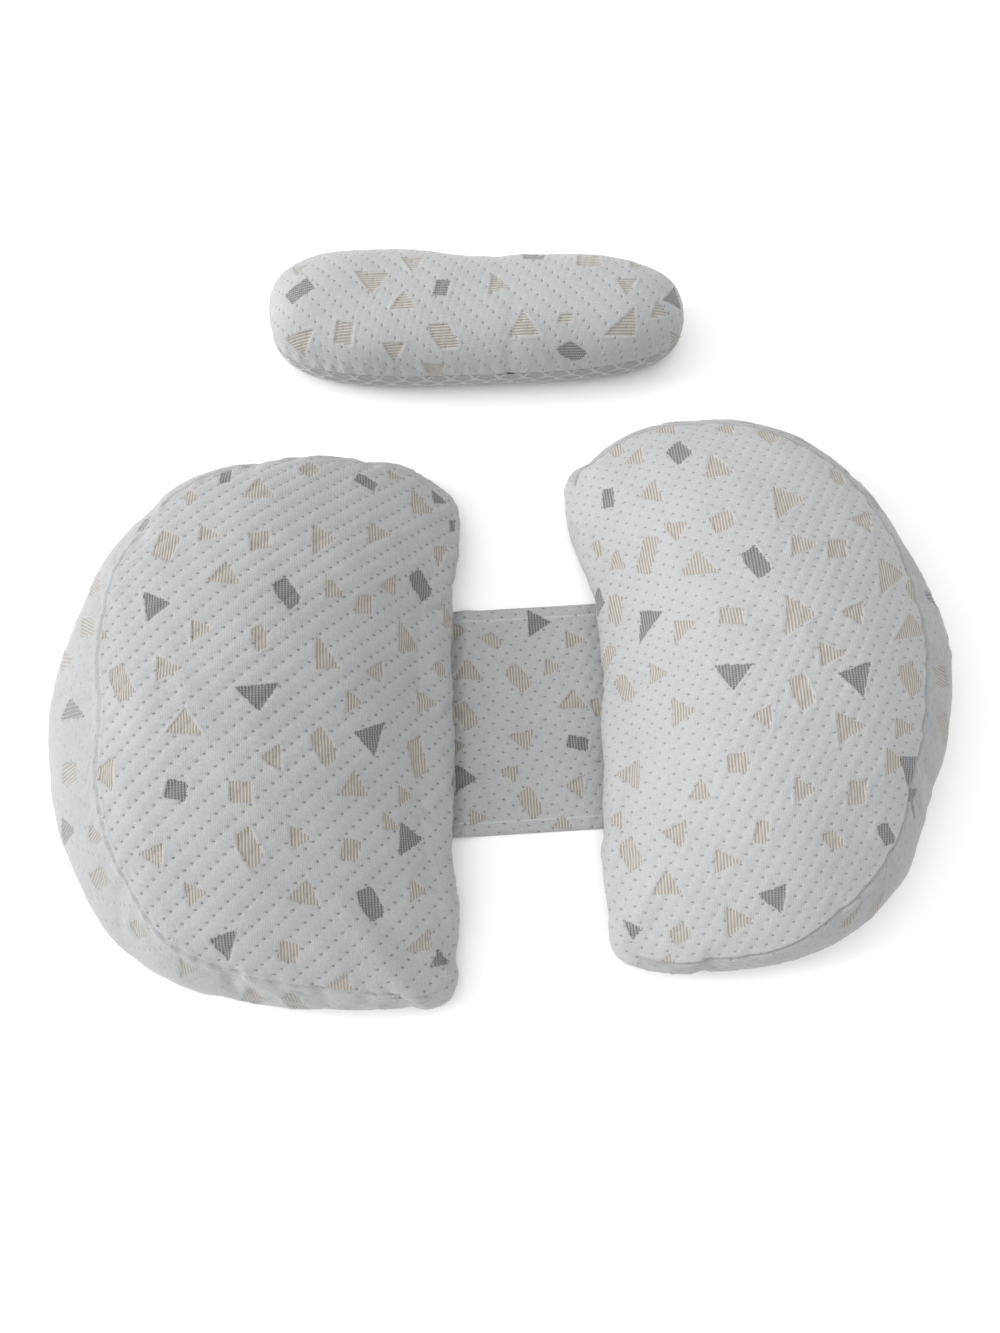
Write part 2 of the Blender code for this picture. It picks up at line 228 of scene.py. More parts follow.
# The knitted chips, charted by shape and colour. Their columns are the photograph's pixel in x and in
# y, the width and the height in millimetres, and the turn in degrees anticlockwise. An arrow or a corner
# without a turn points to the right.
CHIP_SHAPES = {
    "arrow": ((-0.54, -0.57), (0.58, 0.0), (-0.54, 0.57)),
    "corner": ((-0.55, -0.55), (0.58, -0.55), (-0.55, 0.58)),
    "block": ((-0.5, -0.5), (0.5, -0.5), (0.5, 0.5), (-0.5, 0.5)),
    "slant": ((-0.5, -0.5), (0.25, -0.5), (0.5, 0.5), (-0.25, 0.5)),
    "diamond": ((0.0, -0.5), (0.5, 0.0), (0.0, 0.5), (-0.5, 0.0)),
    "lump": ((-0.5, 0.3), (-0.42, 0.0), (0.0, -0.5), (0.42, -0.34), (0.5, -0.16), (0.02, 0.5)),
}
LEFT_CHIPS = {
    ("arrow", "beige"): (
        (259, 492, 13, 21, 90),
        (269, 460, 14, 6, 20),
        (336, 458, 10, 5, 0),
        (207, 534, 13, 11, -8),
        (321, 539, 15, 21, 0),
        (377, 534, 16, 14, -8),
        (440, 554, 13, 9, -90),
        (225, 576, 14, 22, 84),
        (390, 586, 11, 14, 180),
        (199, 629, 14, 14, 0),
        (376, 672, 11, 15, 176),
        (165, 668, 15, 17, 0),
        (352, 702, 11, 15, -4),
        (424, 702, 14, 14, 112),
        (185, 725, 17, 23, 86),
        (274, 757, 13, 17, 180),
        (106, 773, 14, 22, 176),
        (354, 787, 17, 19, 90),
        (404, 796, 10, 15, 0),
        (298, 838, 14, 16, 0),
        (155, 855, 15, 16, 176),
        (194, 894, 14, 16, 8),
        (305, 895, 16, 22, 78),
        (416, 891, 11, 15, 0),
        (341, 984, 18, 13, 196),
    ),
    ("arrow", "grey"): (
        (154, 605, 17, 19, 6),
        (258, 694, 17, 28, -84),
        (371, 737, 16, 23, 165),
        (408, 839, 16, 22, 0),
        (225, 944, 16, 22, 165),
        (441, 960, 10, 13, -12),
    ),
    ("block", "beige"): (
        (166, 546, 14, 20, -24),
        (260, 541, 14, 12, 8),
        (364, 605, 11, 13, -3),
        (241, 792, 16, 15, 0),
        (351, 850, 13, 15, -14),
        (289, 952, 14, 14, -14),
    ),
    ("block", "grey"): (
        (366, 482, 16, 7, -28),
        (452, 526, 4, 9, 0),
        (176, 790, 15, 14, -14),
    ),
    ("corner", "beige"): (
        (394, 476, 10, 7, 0),
        (420, 504, 15, 18, 0),
        (333, 590, 13, 14, 0),
        (324, 657, 15, 23, 0),
        (406, 640, 14, 21, 0),
        (447, 619, 9, 18, 0),
        (101, 632, 7, 12, 0),
        (389, 823, 11, 13, 0),
        (423, 943, 16, 17, 90),
    ),
    ("corner", "grey"): (
        (438, 498, 9, 11, 0),
    ),
    ("diamond", "beige"): (
        (191, 498, 12, 11, 0),
        (310, 471, 17, 14, 0),
    ),
    ("lump", "beige"): (
        (440, 670, 9, 12, 0),
        (122, 684, 19, 28, -5),
        (324, 748, 18, 30, 6),
        (250, 849, 19, 31, 4),
    ),
    ("lump", "grey"): (
        (287, 594, 19, 25, 8),
        (421, 586, 15, 24, 4),
        (371, 905, 20, 27, 0),
    ),
    ("slant", "beige"): (
        (260, 638, 13, 16, 28),
        (417, 757, 13, 26, 24),
    ),
    ("slant", "grey"): (
        (226, 477, 11, 11, 15),
    ),
}
RIGHT_CHIPS = {
    ("arrow", "beige"): (
        (652, 492, 13, 14, 200),
        (717, 468, 17, 16, -12),
        (727, 429, 13, 11, 176),
        (668, 429, 14, 10, 190),
        (676, 529, 13, 16, -84),
        (786, 500, 20, 21, 8),
        (617, 562, 14, 10, 96),
        (699, 566, 16, 24, 95),
        (802, 544, 18, 14, 0),
        (864, 521, 13, 14, 172),
        (889, 575, 16, 23, 4),
        (797, 615, 20, 24, 2),
        (855, 613, 13, 15, 176),
        (911, 629, 15, 22, 100),
        (830, 654, 17, 15, 4),
        (657, 674, 11, 14, 0),
        (680, 712, 15, 18, 4),
        (765, 717, 13, 16, 176),
        (848, 727, 18, 20, 4),
        (803, 790, 14, 16, 0),
        (893, 762, 14, 18, 0),
        (903, 728, 13, 13, 0),
        (632, 775, 14, 20, 180),
        (617, 820, 9, 12, 180),
        (669, 962, 9, 12, 90),
        (677, 834, 15, 19, 172),
        (724, 861, 17, 15, 0),
        (667, 886, 16, 20, 90),
        (736, 921, 19, 19, 4),
        (701, 792, 14, 15, 90),
    ),
    ("arrow", "grey"): (
        (733, 673, 17, 25, -88),
        (858, 677, 18, 23, 168),
        (909, 769, 24, 11, -90),
        (775, 897, 18, 19, 172),
        (633, 929, 14, 10, 137),
    ),
    ("block", "beige"): (
        (723, 521, 16, 12, 26),
        (838, 548, 13, 12, 0),
        (615, 610, 9, 20, -4),
        (732, 616, 17, 11, 0),
        (738, 763, 15, 14, 4),
        (680, 934, 13, 12, 28),
    ),
    ("block", "grey"): (
        (784, 434, 20, 4, -12),
    ),
    ("corner", "beige"): (
        (636, 458, 12, 12, 90),
        (682, 629, 15, 14, -90),
    ),
    ("corner", "grey"): (
        (647, 622, 21, 14, -90),
    ),
    ("diamond", "grey"): (
        (679, 453, 19, 19, 0),
        (598, 603, 11, 24, 0),
    ),
    ("lump", "beige"): (
        (768, 437, 16, 14, 0),
        (616, 450, 15, 14, 0),
        (837, 478, 15, 11, -34),
        (598, 549, 8, 13, 0),
        (913, 594, 12, 20, 0),
        (911, 680, 17, 26, 0),
        (626, 690, 15, 20, 0),
        (803, 692, 18, 27, 0),
        (631, 856, 17, 26, 0),
        (834, 841, 17, 14, 0),
    ),
    ("lump", "grey"): (
        (757, 563, 20, 25, 8),
        (887, 835, 13, 18, 0),
    ),
    ("slant", "beige"): (
        (647, 555, 14, 27, -8),
        (608, 659, 9, 19, -14),
        (858, 793, 16, 17, 6),
        (762, 832, 12, 16, 0),
    ),
    ("slant", "grey"): (
        (608, 498, 11, 13, 12),
    ),
}
BAND_CHIPS = {
    ("arrow", "beige"): (
        (458, 632, 9, 11, 0),
        (573, 640, 13, 11, 0),
        (468, 673, 13, 20, 88),
        (551, 667, 11, 11, 0),
        (573, 702, 12, 19, 90),
        (523, 739, 15, 14, 168),
        (457, 747, 8, 10, 0),
        (511, 773, 12, 11, 168),
        (577, 786, 12, 14, 176),
        (476, 818, 12, 11, 0),
        (563, 824, 9, 14, 90),
    ),
    ("arrow", "grey"): (
        (536, 623, 15, 17, 4),
        (463, 779, 15, 18, 0),
    ),
    ("block", "grey"): (
        (578, 743, 15, 9, -10),
    ),
    ("lump", "beige"): (
        (492, 641, 14, 12, 10),
        (519, 679, 16, 23, 14),
        (466, 717, 18, 21, 8),
        (531, 804, 17, 24, 6),
        (597, 708, 9, 14, 0),
    ),
}
SMALL_CHIPS = {
    ("arrow", "beige"): (
        (372, 279, 14, 21, -90),
        (404, 303, 11, 16, 90),
        (413, 262, 11, 14, -90),
        (497, 284, 12, 14, 110),
        (300, 342, 15, 19, 166),
        (394, 350, 13, 14, -90),
        (434, 370, 12, 15, -90),
        (524, 327, 17, 20, 94),
        (659, 311, 10, 11, 100),
        (627, 284, 11, 13, -90),
        (673, 339, 10, 12, 0),
        (299, 269, 9, 9, 30),
        (635, 265, 8, 8, 0),
    ),
    ("arrow", "grey"): (
        (673, 299, 12, 16, 190),
    ),
    ("block", "beige"): (
        (344, 333, 12, 16, -8),
        (589, 261, 16, 10, 0),
    ),
    ("block", "grey"): (
        (300, 291, 20, 9, 38),
        (534, 257, 15, 7, 0),
    ),
    ("corner", "beige"): (
        (625, 326, 18, 20, 90),
    ),
    ("lump", "beige"): (
        (444, 337, 25, 19, -14),
    ),
    ("lump", "grey"): (
        (573, 353, 21, 15, 10),
    ),
    ("slant", "beige"): (
        (566, 318, 13, 7, 0),
    ),
    ("slant", "grey"): (
        (442, 288, 13, 11, 0),
    ),
}
SIDE_CHIPS = {
    ("arrow", "beige"): (
        (67, 661, 12, 15, 0),
        (186, 969, 12, 13, 0),
    ),
    ("arrow", "grey"): (
        (144, 523, 12, 16, 200),
        (72, 711, 14, 17, 90),
        (68, 831, 13, 20, 0),
    ),
    ("block", "beige"): (
        (96, 585, 12, 15, 20),
        (87, 627, 13, 13, 8),
        (69, 773, 12, 15, 0),
        (99, 879, 13, 14, 30),
    ),
    ("corner", "beige"): (
        (95, 835, 12, 13, 0),
    ),
    ("lump", "beige"): (
        (138, 930, 16, 14, 0),
    ),
}

# How far apart the chips repeat, how near one may be to a charted one, and where the photograph shows them
TOP_REPEAT = (0.470, 0.540)
SIDE_REPEAT = (0.330, 0.150)
BAND_REPEAT = (0.190, 0.210)
SMALL_REPEAT = (0.420, 0.135)
CHIP_REACH = 0.006
CHIP_SPACING = 0.026
CHART_POINTS = 40
PIXEL_SIZE = 0.00072
MOST_STRETCH = 1.6
SEEN_HEIGHT = 0.014
SEEN_FACING = 0.10

# Relief of the knit. A chip lies lower than the knit, which puffs up round it.
CHIP_SINK = 0.00065
CHIP_PUFF = 0.00034
CHIP_PUFF_PLACE = 0.0016
CHIP_PUFF_WIDTH = 0.0011
RIDGE_ROUNDING = 0.8
DIMPLE_BETWEEN_RIDGES = 0.4
GUSSET_PUFFS = 0.4
LUMP_WAVES = 6
LUMP_SPREAD = (0.7, 1.4)
LUMP_SCALE = 3.5

# Lumps of the filling in the wedges: height, size, and step of the seed
WEDGE_LUMPS = (
    (0.0011, 0.075, 0),
    (0.0004, 0.028, 1),
)

# Seam between top panel and gusset: a groove between two welts, with calm knit beside it
WELT_HEIGHT = 0.0007
WELT_PLACE = 0.0036
WELT_WIDTH = 0.0022
GROOVE_WIDTH = 0.0011
SEAM_CALM = 0.010
FLOOR_CALM = 0.010
CORNER_BLENDS = 6

# Slanting wrinkles of the gusset, and the folds of a gathered corner: share, waves in a radian, and phase
WRINKLE_HEIGHT = 0.00030
WRINKLE_STEP = 0.0062
WRINKLE_SLANT = 0.55
WRINKLE_START = 0.008
WRINKLE_WAVER = 1.5
WAVER_SIZE = 0.03
WRINKLE_PATCH = 0.06
GATHER_FOLDS = (
    (1.0, 26, 2.0),
    (0.6, 47, 3.6),
)
GATHER_START = 0.150
GATHER_REACH = 0.080

# Relief of the band: puffs, long waves, small ripples and the stitches of its hems
BAND_PUFF = 0.00022
BAND_WAVE_HEIGHT = 0.00030
BAND_WAVE_STEP = 0.0125
BAND_WAVER = 1.4
BAND_WAVER_SIZE = 0.05
RIPPLE_HEIGHT = 0.00045
RIPPLE_SIZE = 0.010
RIPPLE_STRETCH = (0.6, 1.0, 1.0)
STITCH_STEP = 0.0032
STITCH_DEPTH = 0.00055
STITCH_WIDTH = 0.0011
HEM_CALM = 0.003

# Relief of the small pillow, and the creases of its waist. side is 1 at the back and -1 at the front.
SMALL_RIDGE = 0.00026
SMALL_DIMPLE = 0.00018
SMALL_CALM = 0.008
SMALL_LUMP_HEIGHT = 0.0008
SMALL_LUMP_SIZE = 0.06
SMALL_GATHER_HEIGHT = 0.0007
SMALL_GATHER_STEP = 0.013
SMALL_GATHER_REACH = 0.014
SMALL_WAVER = 1.5
SMALL_WAVER_SIZE = 0.04
CREASE_END = 0.05
CREASE_COLUMNS = ("side", "x", "lean", "width", "start", "fade", "depth")
WAIST_CREASES = (
    (1, 0.018, 0.35, 0.008, 0.012, 0.030, 0.0014),
    (-1, 0.026, -0.15, 0.006, 0.005, 0.035, 0.0012),
)

# Colours of the yarns, linear, the others' as shares of the white one
WHITE_YARN = (0.395, 0.398, 0.402)
SHADE_SHARE = (0.82, 0.83, 0.835)
BEIGE_SHARE = (0.65, 0.595, 0.515)
PALE_BEIGE_SHARE = (1.06, 1.0, 0.90)
GREY_SHARE = (0.31, 0.31, 0.32)
PALE_GREY_SHARE = (0.72, 0.72, 0.73)
MESH_SHARE = (0.80, 0.81, 0.82)
MESH_HOLE_SHARE = (0.62, 0.63, 0.65)
STITCH_SHARE = (1.12, 1.12, 1.12)

# Steps and widths in the knit, in metres. A dot's limits are shares of its own size.
RIB_STEP = 0.0012
COURSE_STEP = 0.0009
STRIPE_STEP = 0.0023
RUNG_STEP = 0.8 * STRIPE_STEP
DOT_HALF_WIDTH = 0.00108
DOT_HALF_HEIGHT = 0.00062
DOT_SHADE_LIMITS = (1.25, 0.75)
PIT_LIMITS = (2.8, 0.2)
STEP_CELL = 0.0012
STEP_DEPTH = 0.0011
CHIP_EDGE = 0.0002
STRIPE_LIMITS = (-0.35, 0.45)
RUNG_LIMITS = (-0.2, 0.5)
STITCH_LIMITS = (0.0009, 0.0004)
DOT_SHADE_PATCH_SIZE = 0.012
CLOUD_SIZE = 0.05
FUZZ_SIZE = 0.0011
FUZZ_DETAIL = 3.0

# How much each part of the knit shades its yarn, and how high it stands, in metres
# The tucked dots are darkened with painted shade, as if their pits were shadowed, its strength varying at
# random between these shares
DOT_SHADE_FADING = 0.9
LEAST_DOT_SHADE = 0.40
GRAIN_SHADE = 0.70
CLOUD_SHADE = 0.8
RIB_SHADE = 0.28
RUNG_SHARE = 0.6
RIB_RISE = 0.00005
COURSE_RISE = 0.00002
STRIPE_RISE = 0.00016
CHIP_FALL = 0.00028
FUZZ_RISE = 0.00012

# Looks of the knits: lattice, tint of all yarns, which also holds painted light and shade (the right wedge
# lighter than the left, its gusset darker than its top), the share of white left in a tucked dot by its
# painted shade, its depth, and how strongly the chips show
KNITS = {
    "left_top_knit": (WIDE_LATTICE, 0.94, 0.42, 0.0006, 1.0),
    "left_gusset_knit": (WIDE_LATTICE, 0.94, 0.72, 0.0002, 0.6),
    "right_top_knit": (TIGHT_LATTICE, 1.0, 0.52, 0.0004, 0.94),
    # The right gusset is the right top's cloth with a lower tint: painted shade, as if turned away from the
    # key light
    "right_gusset_knit_painted_shade": (TIGHT_LATTICE, 0.85, 0.66, 0.0002, 0.7),
    "band_knit_look": (TIGHT_LATTICE, 0.96, 0.46, 0.0004, 1.0),
    "small_pillow_knit": (TURNED_LATTICE, 1.0, 0.48, 0.0004, 0.87),
}

# Floor, sky and lamps. A lamp's columns are its name, strength, azimuth, elevation and softness, in degrees.
FLOOR_HALF = 40.0
FLOOR_LEVEL = -0.0002
FLOOR_COLOURS = ((0.93, 0.93, 0.93), (0.91, 0.91, 0.91))
SKY_STRENGTH = 0.74
LAMPS = (
    ("key", 2.38, 174, 22, 28),
    ("overhead", 1.42, 180, 78, 90),
)


def closed_curve(xs, values, at, period):
    """A smooth closed curve through the values at xs, read at other places."""
    xs = np.concatenate([xs[-2:] - period, xs, xs[:2] + period])
    values = np.concatenate([values[-2:], values, values[:2]])
    step = np.diff(xs)
    slope = np.diff(values) / step
    tangent = (slope[:-1] * step[1:] + slope[1:] * step[:-1]) / (step[1:] + step[:-1])
    at = np.mod(at, period)
    i = np.clip(np.searchsorted(xs, at, side="right") - 1, 1, len(xs) - 3)
    t = (at - xs[i]) / step[i]
    start = tangent[i - 1] * step[i]
    end = tangent[i] * step[i]
    rise = values[i + 1] - values[i]
    return values[i] + t * (start + t * (3 * rise - 2 * start - end + t * (start + end - 2 * rise)))


def wedge_sections(table, angles):
    """The named columns of a wedge's table at the given angles, in metres."""
    rows = np.array(table, float)
    rows = rows[np.argsort(rows[:, 0])]
    found = {}
    for column, name in enumerate(WEDGE_COLUMNS[1:], start=1):
        found[name] = closed_curve(rows[:, 0], rows[:, column], angles, 360.0) * MM
    return found


def even_angles(table, count):
    """Angles whose outline points are evenly spaced along the outline."""
    angles = np.linspace(0.0, 360.0, OUTLINE_SAMPLES)
    reach = wedge_sections(table, angles)["reach"]
    outline = np.stack([reach * np.cos(np.radians(angles)), reach * np.sin(np.radians(angles))], 1)
    length = np.concatenate([[0.0], np.cumsum(np.linalg.norm(np.diff(outline, axis=0), axis=1))])
    return np.interp(np.arange(count) * length[-1] / count, length, angles)


def bezier(p0, p1, p2, p3, t):
    return (1 - t) ** 3 * p0 + 3 * (1 - t) ** 2 * t * p1 + 3 * (1 - t) * t**2 * p2 + t**3 * p3


def smooth_step(value):
    value = np.clip(value, 0.0, 1.0)
    return value * value * (3 - 2 * value)


def gaussian(value, width):
    return np.exp(-((value / width) ** 2))


def on_gusset(angles, corners):
    """1 along the curved side, which has a gusset, and 0 along the straight inner side."""
    first, last = corners
    return (np.mod(angles - first, 360.0) < np.mod(last - first, 360.0)).astype(float)


def blown_up(points, faces, heights, free, crown):
    """Heights of a panel that its filling pushes up to the crown, between the edge points that hold it."""
    pull = np.zeros((len(points), len(points)))
    load = np.zeros(len(points))
    for corner in range(3):
        here, there, tip = (faces[:, (corner + step) % 3] for step in range(3))
        first = points[here] - points[tip]
        second = points[there] - points[tip]
        twice_area = first[:, 0] * second[:, 1] - first[:, 1] * second[:, 0]
        weight = (first * second).sum(1) / twice_area / 2
        np.add.at(pull, (here, there), weight)
        np.add.at(pull, (there, here), weight)
        np.add.at(load, tip, twice_area / 6)
    np.fill_diagonal(pull, -pull.sum(axis=1))
    inside = pull[:free, :free]
    slack = np.linalg.solve(inside, -pull[:free, free:] @ heights)
    push = np.linalg.solve(inside, -load[:free])
    return slack + push * np.min((crown - slack) / push)


def top_panel(centre_rings, heights):
    """Heights of the panel's middle and rings, from the flat rings and the heights of the last one."""
    count = len(heights)
    points = np.concatenate([np.zeros((1, 2))] + centre_rings)
    i = np.arange(count)
    j = (i + 1) % count
    faces = [np.stack([np.zeros(count, int), 1 + i, 1 + j], 1)]
    for ring in range(len(centre_rings) - 1):
        upper = 1 + ring * count
        lower = upper + count
        faces.append(np.stack([upper + i, lower + i, lower + j], 1))
        faces.append(np.stack([upper + i, lower + j, upper + j], 1))
    free = 1 + (len(centre_rings) - 1) * count
    found = blown_up(points, np.concatenate(faces), heights, free, CROWN_HEIGHT)
    return found[0], found[1:].reshape(-1, count)


def wedge_frame(centre, table, corners):
    """A coarse grid of points, ring by ring from the crown over the side to the middle of the base."""
    angles = even_angles(table, WEDGE_SEGMENTS)
    sections = wedge_sections(table, angles)
    out = np.stack([np.cos(np.radians(angles)), np.sin(np.radians(angles))], 1)
    seam_reach = sections["reach"] - sections["inset"]
    shares = 1 - (1 - np.arange(1, CROWN_RINGS + 1) / CROWN_RINGS) ** RING_POWER
    flat = [out * (seam_reach * share)[:, None] for share in shares]
    middle, heights = top_panel(flat, sections["seam"])
    rings = [(np.zeros(len(angles)), np.full(len(angles), middle))]
    rings.extend((seam_reach * share, height) for share, height in zip(shares, heights))
    rings.append((seam_reach, sections["seam"]))
    slope = np.arctan((heights[-1] - sections["seam"]) / (seam_reach * (1 - shares[-2])))
    slope += GUSSET_CREASE * on_gusset(angles, corners)
    fall = sections["seam"] - sections["middle"]
    lead = SIDE_LEAD * np.hypot(sections["inset"], fall)
    reach_points = (seam_reach, seam_reach + lead * np.cos(slope), sections["reach"], sections["reach"])
    height_points = (
        sections["seam"],
        sections["seam"] - lead * np.sin(slope),
        sections["middle"] + SIDE_BULGE * fall,
        sections["middle"],
    )
    for t in np.arange(1, SIDE_RINGS + 1) / SIDE_RINGS:
        rings.append((bezier(*reach_points, t), bezier(*height_points, t)))
    for turn in np.arange(1, FOOT_RINGS + 1) / FOOT_RINGS * math.pi / 2:
        reach = sections["reach"] - BASE_INSET * (1 - math.cos(turn))
        rings.append((reach, sections["middle"] * (1 - math.sin(turn))))
    for share in 1 - np.arange(1, BASE_RINGS + 1) / BASE_RINGS:
        rings.append((rings[FLOOR_RING][0] * share, np.zeros(len(angles))))
    grid = np.zeros((len(rings), len(angles), 3))
    for row, (reach, height) in enumerate(rings):
        grid[row, :, :2] = np.array(centre) - SET_MIDDLE[:2] + out * reach[:, None]
        grid[row, :, 2] = height
    return grid


def spline_weights(t):
    """Weights of four neighbours for a smooth curve read at the share t between the middle two."""
    first = -t + 2 * t**2 - t**3
    second = 2 - 5 * t**2 + 3 * t**3
    third = t + 4 * t**2 - 3 * t**3
    fourth = t**3 - t**2
    return np.stack([first, second, third, fourth]) / 2


def round_columns(grid, count):
    """The grid with another number of columns, smooth all the way round."""
    had = grid.shape[1]
    at = np.arange(count) * had / count
    i = np.floor(at).astype(int)
    weights = spline_weights(at - i)
    total = 0.0
    for step in range(4):
        total = total + weights[step][None, :, None] * grid[:, (i + step - 1) % had]
    return total


def along_rows(grid, at):
    """The grid read at other places between its rows. Past each end it goes on into the opposite column."""
    half = grid.shape[1] // 2
    padded = np.concatenate([np.roll(grid[1:2], half, 1), grid, np.roll(grid[-2:-1], half, 1)])
    i = np.clip(np.floor(at).astype(int), 0, len(grid) - 2)
    weights = spline_weights(at - i)
    total = 0.0
    for step in range(4):
        total = total + weights[step][:, None, None] * padded[i + step]
    return total


def row_lengths(grid):
    """Mean length along the surface from the first row to each row."""
    steps = np.linalg.norm(np.diff(grid, axis=0), axis=2).mean(1)
    return np.concatenate([[0.0], np.cumsum(steps)])


def row_places(lengths, step, seam_step):
    """Places between the rows of a wedge's frame: close together at the seam, far apart under the base."""
    s = np.linspace(0.0, lengths[-1], LENGTH_SAMPLES)
    spacing = np.where(s < lengths[FLOOR_RING], step, BASE_STEP)
    spacing = np.where(abs(s - lengths[SEAM_RING]) < SEAM_ZONE, seam_step, spacing)
    passed = np.concatenate([[0.0], np.cumsum(np.diff(s) / spacing[1:])])
    count = int(passed[-1])
    even = np.interp(np.linspace(0.0, passed[-1], count), passed, s)
    places = np.interp(even, lengths, np.arange(len(lengths)))
    seam_row = int(np.argmin(abs(places - SEAM_RING)))
    places[seam_row] = SEAM_RING
    return places, seam_row


def normals_of(grid):
    """Outward unit normals of a grid whose rows run down and whose columns run anticlockwise."""
    down = np.gradient(grid, axis=0)
    down[0] = grid[1] - grid[0]
    around = np.roll(grid, -1, 1) - np.roll(grid, 1, 1)
    around[0] = around[1]
    around[-1] = around[-2]
    normal = np.cross(down, around)
    size = np.linalg.norm(normal, axis=2, keepdims=True)
    return normal / np.maximum(size, 1e-12)


def grid_faces(rows, count, zipped=False):
    """Faces of a closed grid whose columns meet in a fan at each end, or are zipped along the first row."""
    i = np.arange(count)
    j = (i + 1) % count
    last = 1 + (rows - 1) * count
    top = np.stack([np.zeros(count, int), 1 + i, 1 + j], 1)
    if zipped:
        k = np.arange(count // 2 - 1)
        top = 1 + np.stack([k, k + 1, count - 2 - k, count - 1 - k], 1)
    upper = 1 + np.arange(rows - 1)[:, None] * count
    lower = upper + count
    quads = np.stack([upper + i, lower + i, lower + j, upper + j], 2).reshape(-1, 4)
    bottom = np.stack([np.full(count, last + count), last + j, last + i], 1)
    return top, quads, bottom


def corner_values(values, top, bottom):
    """Values at each face's corners, in the order of grid_faces.

    The values have one more column than the grid. Without one for the top, the first row is zipped together.
    """
    left = values[:, :-1]
    right = values[:, 1:]
    size = left[0].shape
    if top is None:
        k = np.arange(size[0] // 2 - 1)
        first = np.stack([left[0, k], left[0, k + 1], left[0, -2 - k], left[0, -1 - k]], 1)
    else:
        first = np.stack([np.broadcast_to(top, size), left[0], right[0]], 1)
    quads = np.stack([left[:-1], left[1:], right[1:], right[:-1]], 2)
    last = np.stack([np.broadcast_to(bottom, size), right[-1], left[-1]], 1)
    return first, quads, last


def flat_list(parts):
    return np.concatenate([part.reshape(-1, 2) for part in parts]).astype(np.float32)


def add_piece(name, grid, top, bottom, maps, material):
    """A closed, smooth mesh of the grid, with the named maps of two values at each corner."""
    rows, count = grid.shape[:2]
    zipped = top is None
    faces = []
    for part in grid_faces(rows, count, zipped):
        faces.extend((part - zipped).tolist())
    points = np.concatenate([grid.reshape(-1, 3), np.array(bottom)[None]])
    if not zipped:
        points = np.concatenate([np.array(top)[None], points])
    mesh = bpy.data.meshes.new(name)
    mesh.from_pydata(points.tolist(), [], faces)
    mesh.shade_smooth()
    for map_name, values in maps.items():
        layer = mesh.uv_layers.new(name=map_name)
        layer.uv.foreach_set("vector", values.ravel())
    mesh.materials.append(material)
    mesh.update()
    made = bpy.data.objects.new(name, mesh)
    bpy.context.scene.collection.objects.link(made)
    return made


def photo_axes():
    """Where the camera stands, and its directions forward, to the right and up."""
    place = np.array(CAMERA_PLACE)
    forward = np.array(CAMERA_TARGET) - place
    forward /= np.linalg.norm(forward)
    right = np.cross(forward, (0.0, 0.0, 1.0))
    right /= np.linalg.norm(right)
    return place, forward, right, np.cross(right, forward)


def photo_pixels(points):
    """Pixels of the photograph at which the points are seen."""
    place, forward, right, up = photo_axes()
    away = points - place
    depth = away @ forward
    x = PHOTO_WIDTH / 2 + FOCAL_PIXELS * (away @ right) / depth
    y = PHOTO_HEIGHT / 2 - FOCAL_PIXELS * (away @ up) / depth
    return np.stack([x, y], -1)


def chip_outline(shape, width, height, turn):
    """Corners of a chip round its middle, anticlockwise, as it is seen in the photograph."""
    corners = np.array(CHIP_SHAPES[shape]) * (width * MM, height * MM)
    spin = math.radians(turn)
    corners = corners @ ((math.cos(spin), math.sin(spin)), (-math.sin(spin), math.cos(spin)))
    return corners - corners.mean(0)


def charted(chips, points, fabric):
    """The chips' outlines on the fabric, from the pixels at which the piece's points are seen.

    Where the fabric slants away from the camera a chip is longer than it looks, up to MOST_STRETCH times.
    """
    pixels = photo_pixels(points)
    found = []
    for (shape, colour), rows in chips.items():
        for photo_x, photo_y, width, height, turn in rows:
            offset = pixels - (photo_x, photo_y)
            near = np.argsort(np.linalg.norm(offset, axis=1))[:CHART_POINTS]
            known = np.column_stack([offset[near], np.ones(CHART_POINTS)])
            slope = np.linalg.lstsq(known, fabric[near], rcond=None)[0]
            first, size, second = np.linalg.svd(slope[:2])
            stretch = first @ np.diag(np.minimum(size, MOST_STRETCH * PIXEL_SIZE)) @ second
            seen = chip_outline(shape, width, height, turn) * (1, -1) / PIXEL_SIZE
            found.append((seen @ stretch + slope[2], colour))
    return found


def outline_distance(at, corners):
    """Distance from a chip's outline, less than 0 inside it."""
    farthest = np.full(len(at), -1.0)
    for start, end in zip(corners, np.roll(corners, -1, 0)):
        along = (end - start) / np.linalg.norm(end - start)
        outward = np.array((along[1], -along[0]))
        farthest = np.maximum(farthest, (at - start) @ outward)
    return farthest


def chip_field(fabric, chips, repeat):
    """Distances to the nearest beige and the nearest grey chip.

    The chips repeat over the whole plane, but a repeated one is left out where it would crowd a charted one.
    """
    flat = fabric.reshape(-1, 2)
    near = np.full((len(flat), 2), CHIP_REACH)
    middles = np.array([corners.mean(0) for corners, _ in chips])
    for corners, colour in chips:
        column = ("beige", "grey").index(colour)
        middle = corners.mean(0)
        shift = np.round((flat - middle) / repeat) * repeat
        offset = flat - middle - shift
        reach = np.linalg.norm(corners - middle, axis=1).max() + CHIP_REACH
        within = np.nonzero(np.linalg.norm(offset, axis=1) < reach)[0]
        repeated = abs(shift[within]).max(axis=1) > 0
        apart = np.linalg.norm((middle + shift[within])[:, None] - middles, axis=2).min(axis=1)
        within = within[~repeated | (apart > CHIP_SPACING)]
        distance = outline_distance(offset[within], corners - middle)
        near[within, column] = np.minimum(near[within, column], distance)
    return near.reshape(fabric.shape)


def lattice_places(fabric, lattice):
    """How many steps of the lattice each place is from the fabric's origin. Dots are at the halves."""
    steps = np.array(lattice) * MM
    return fabric @ np.linalg.inv(steps)


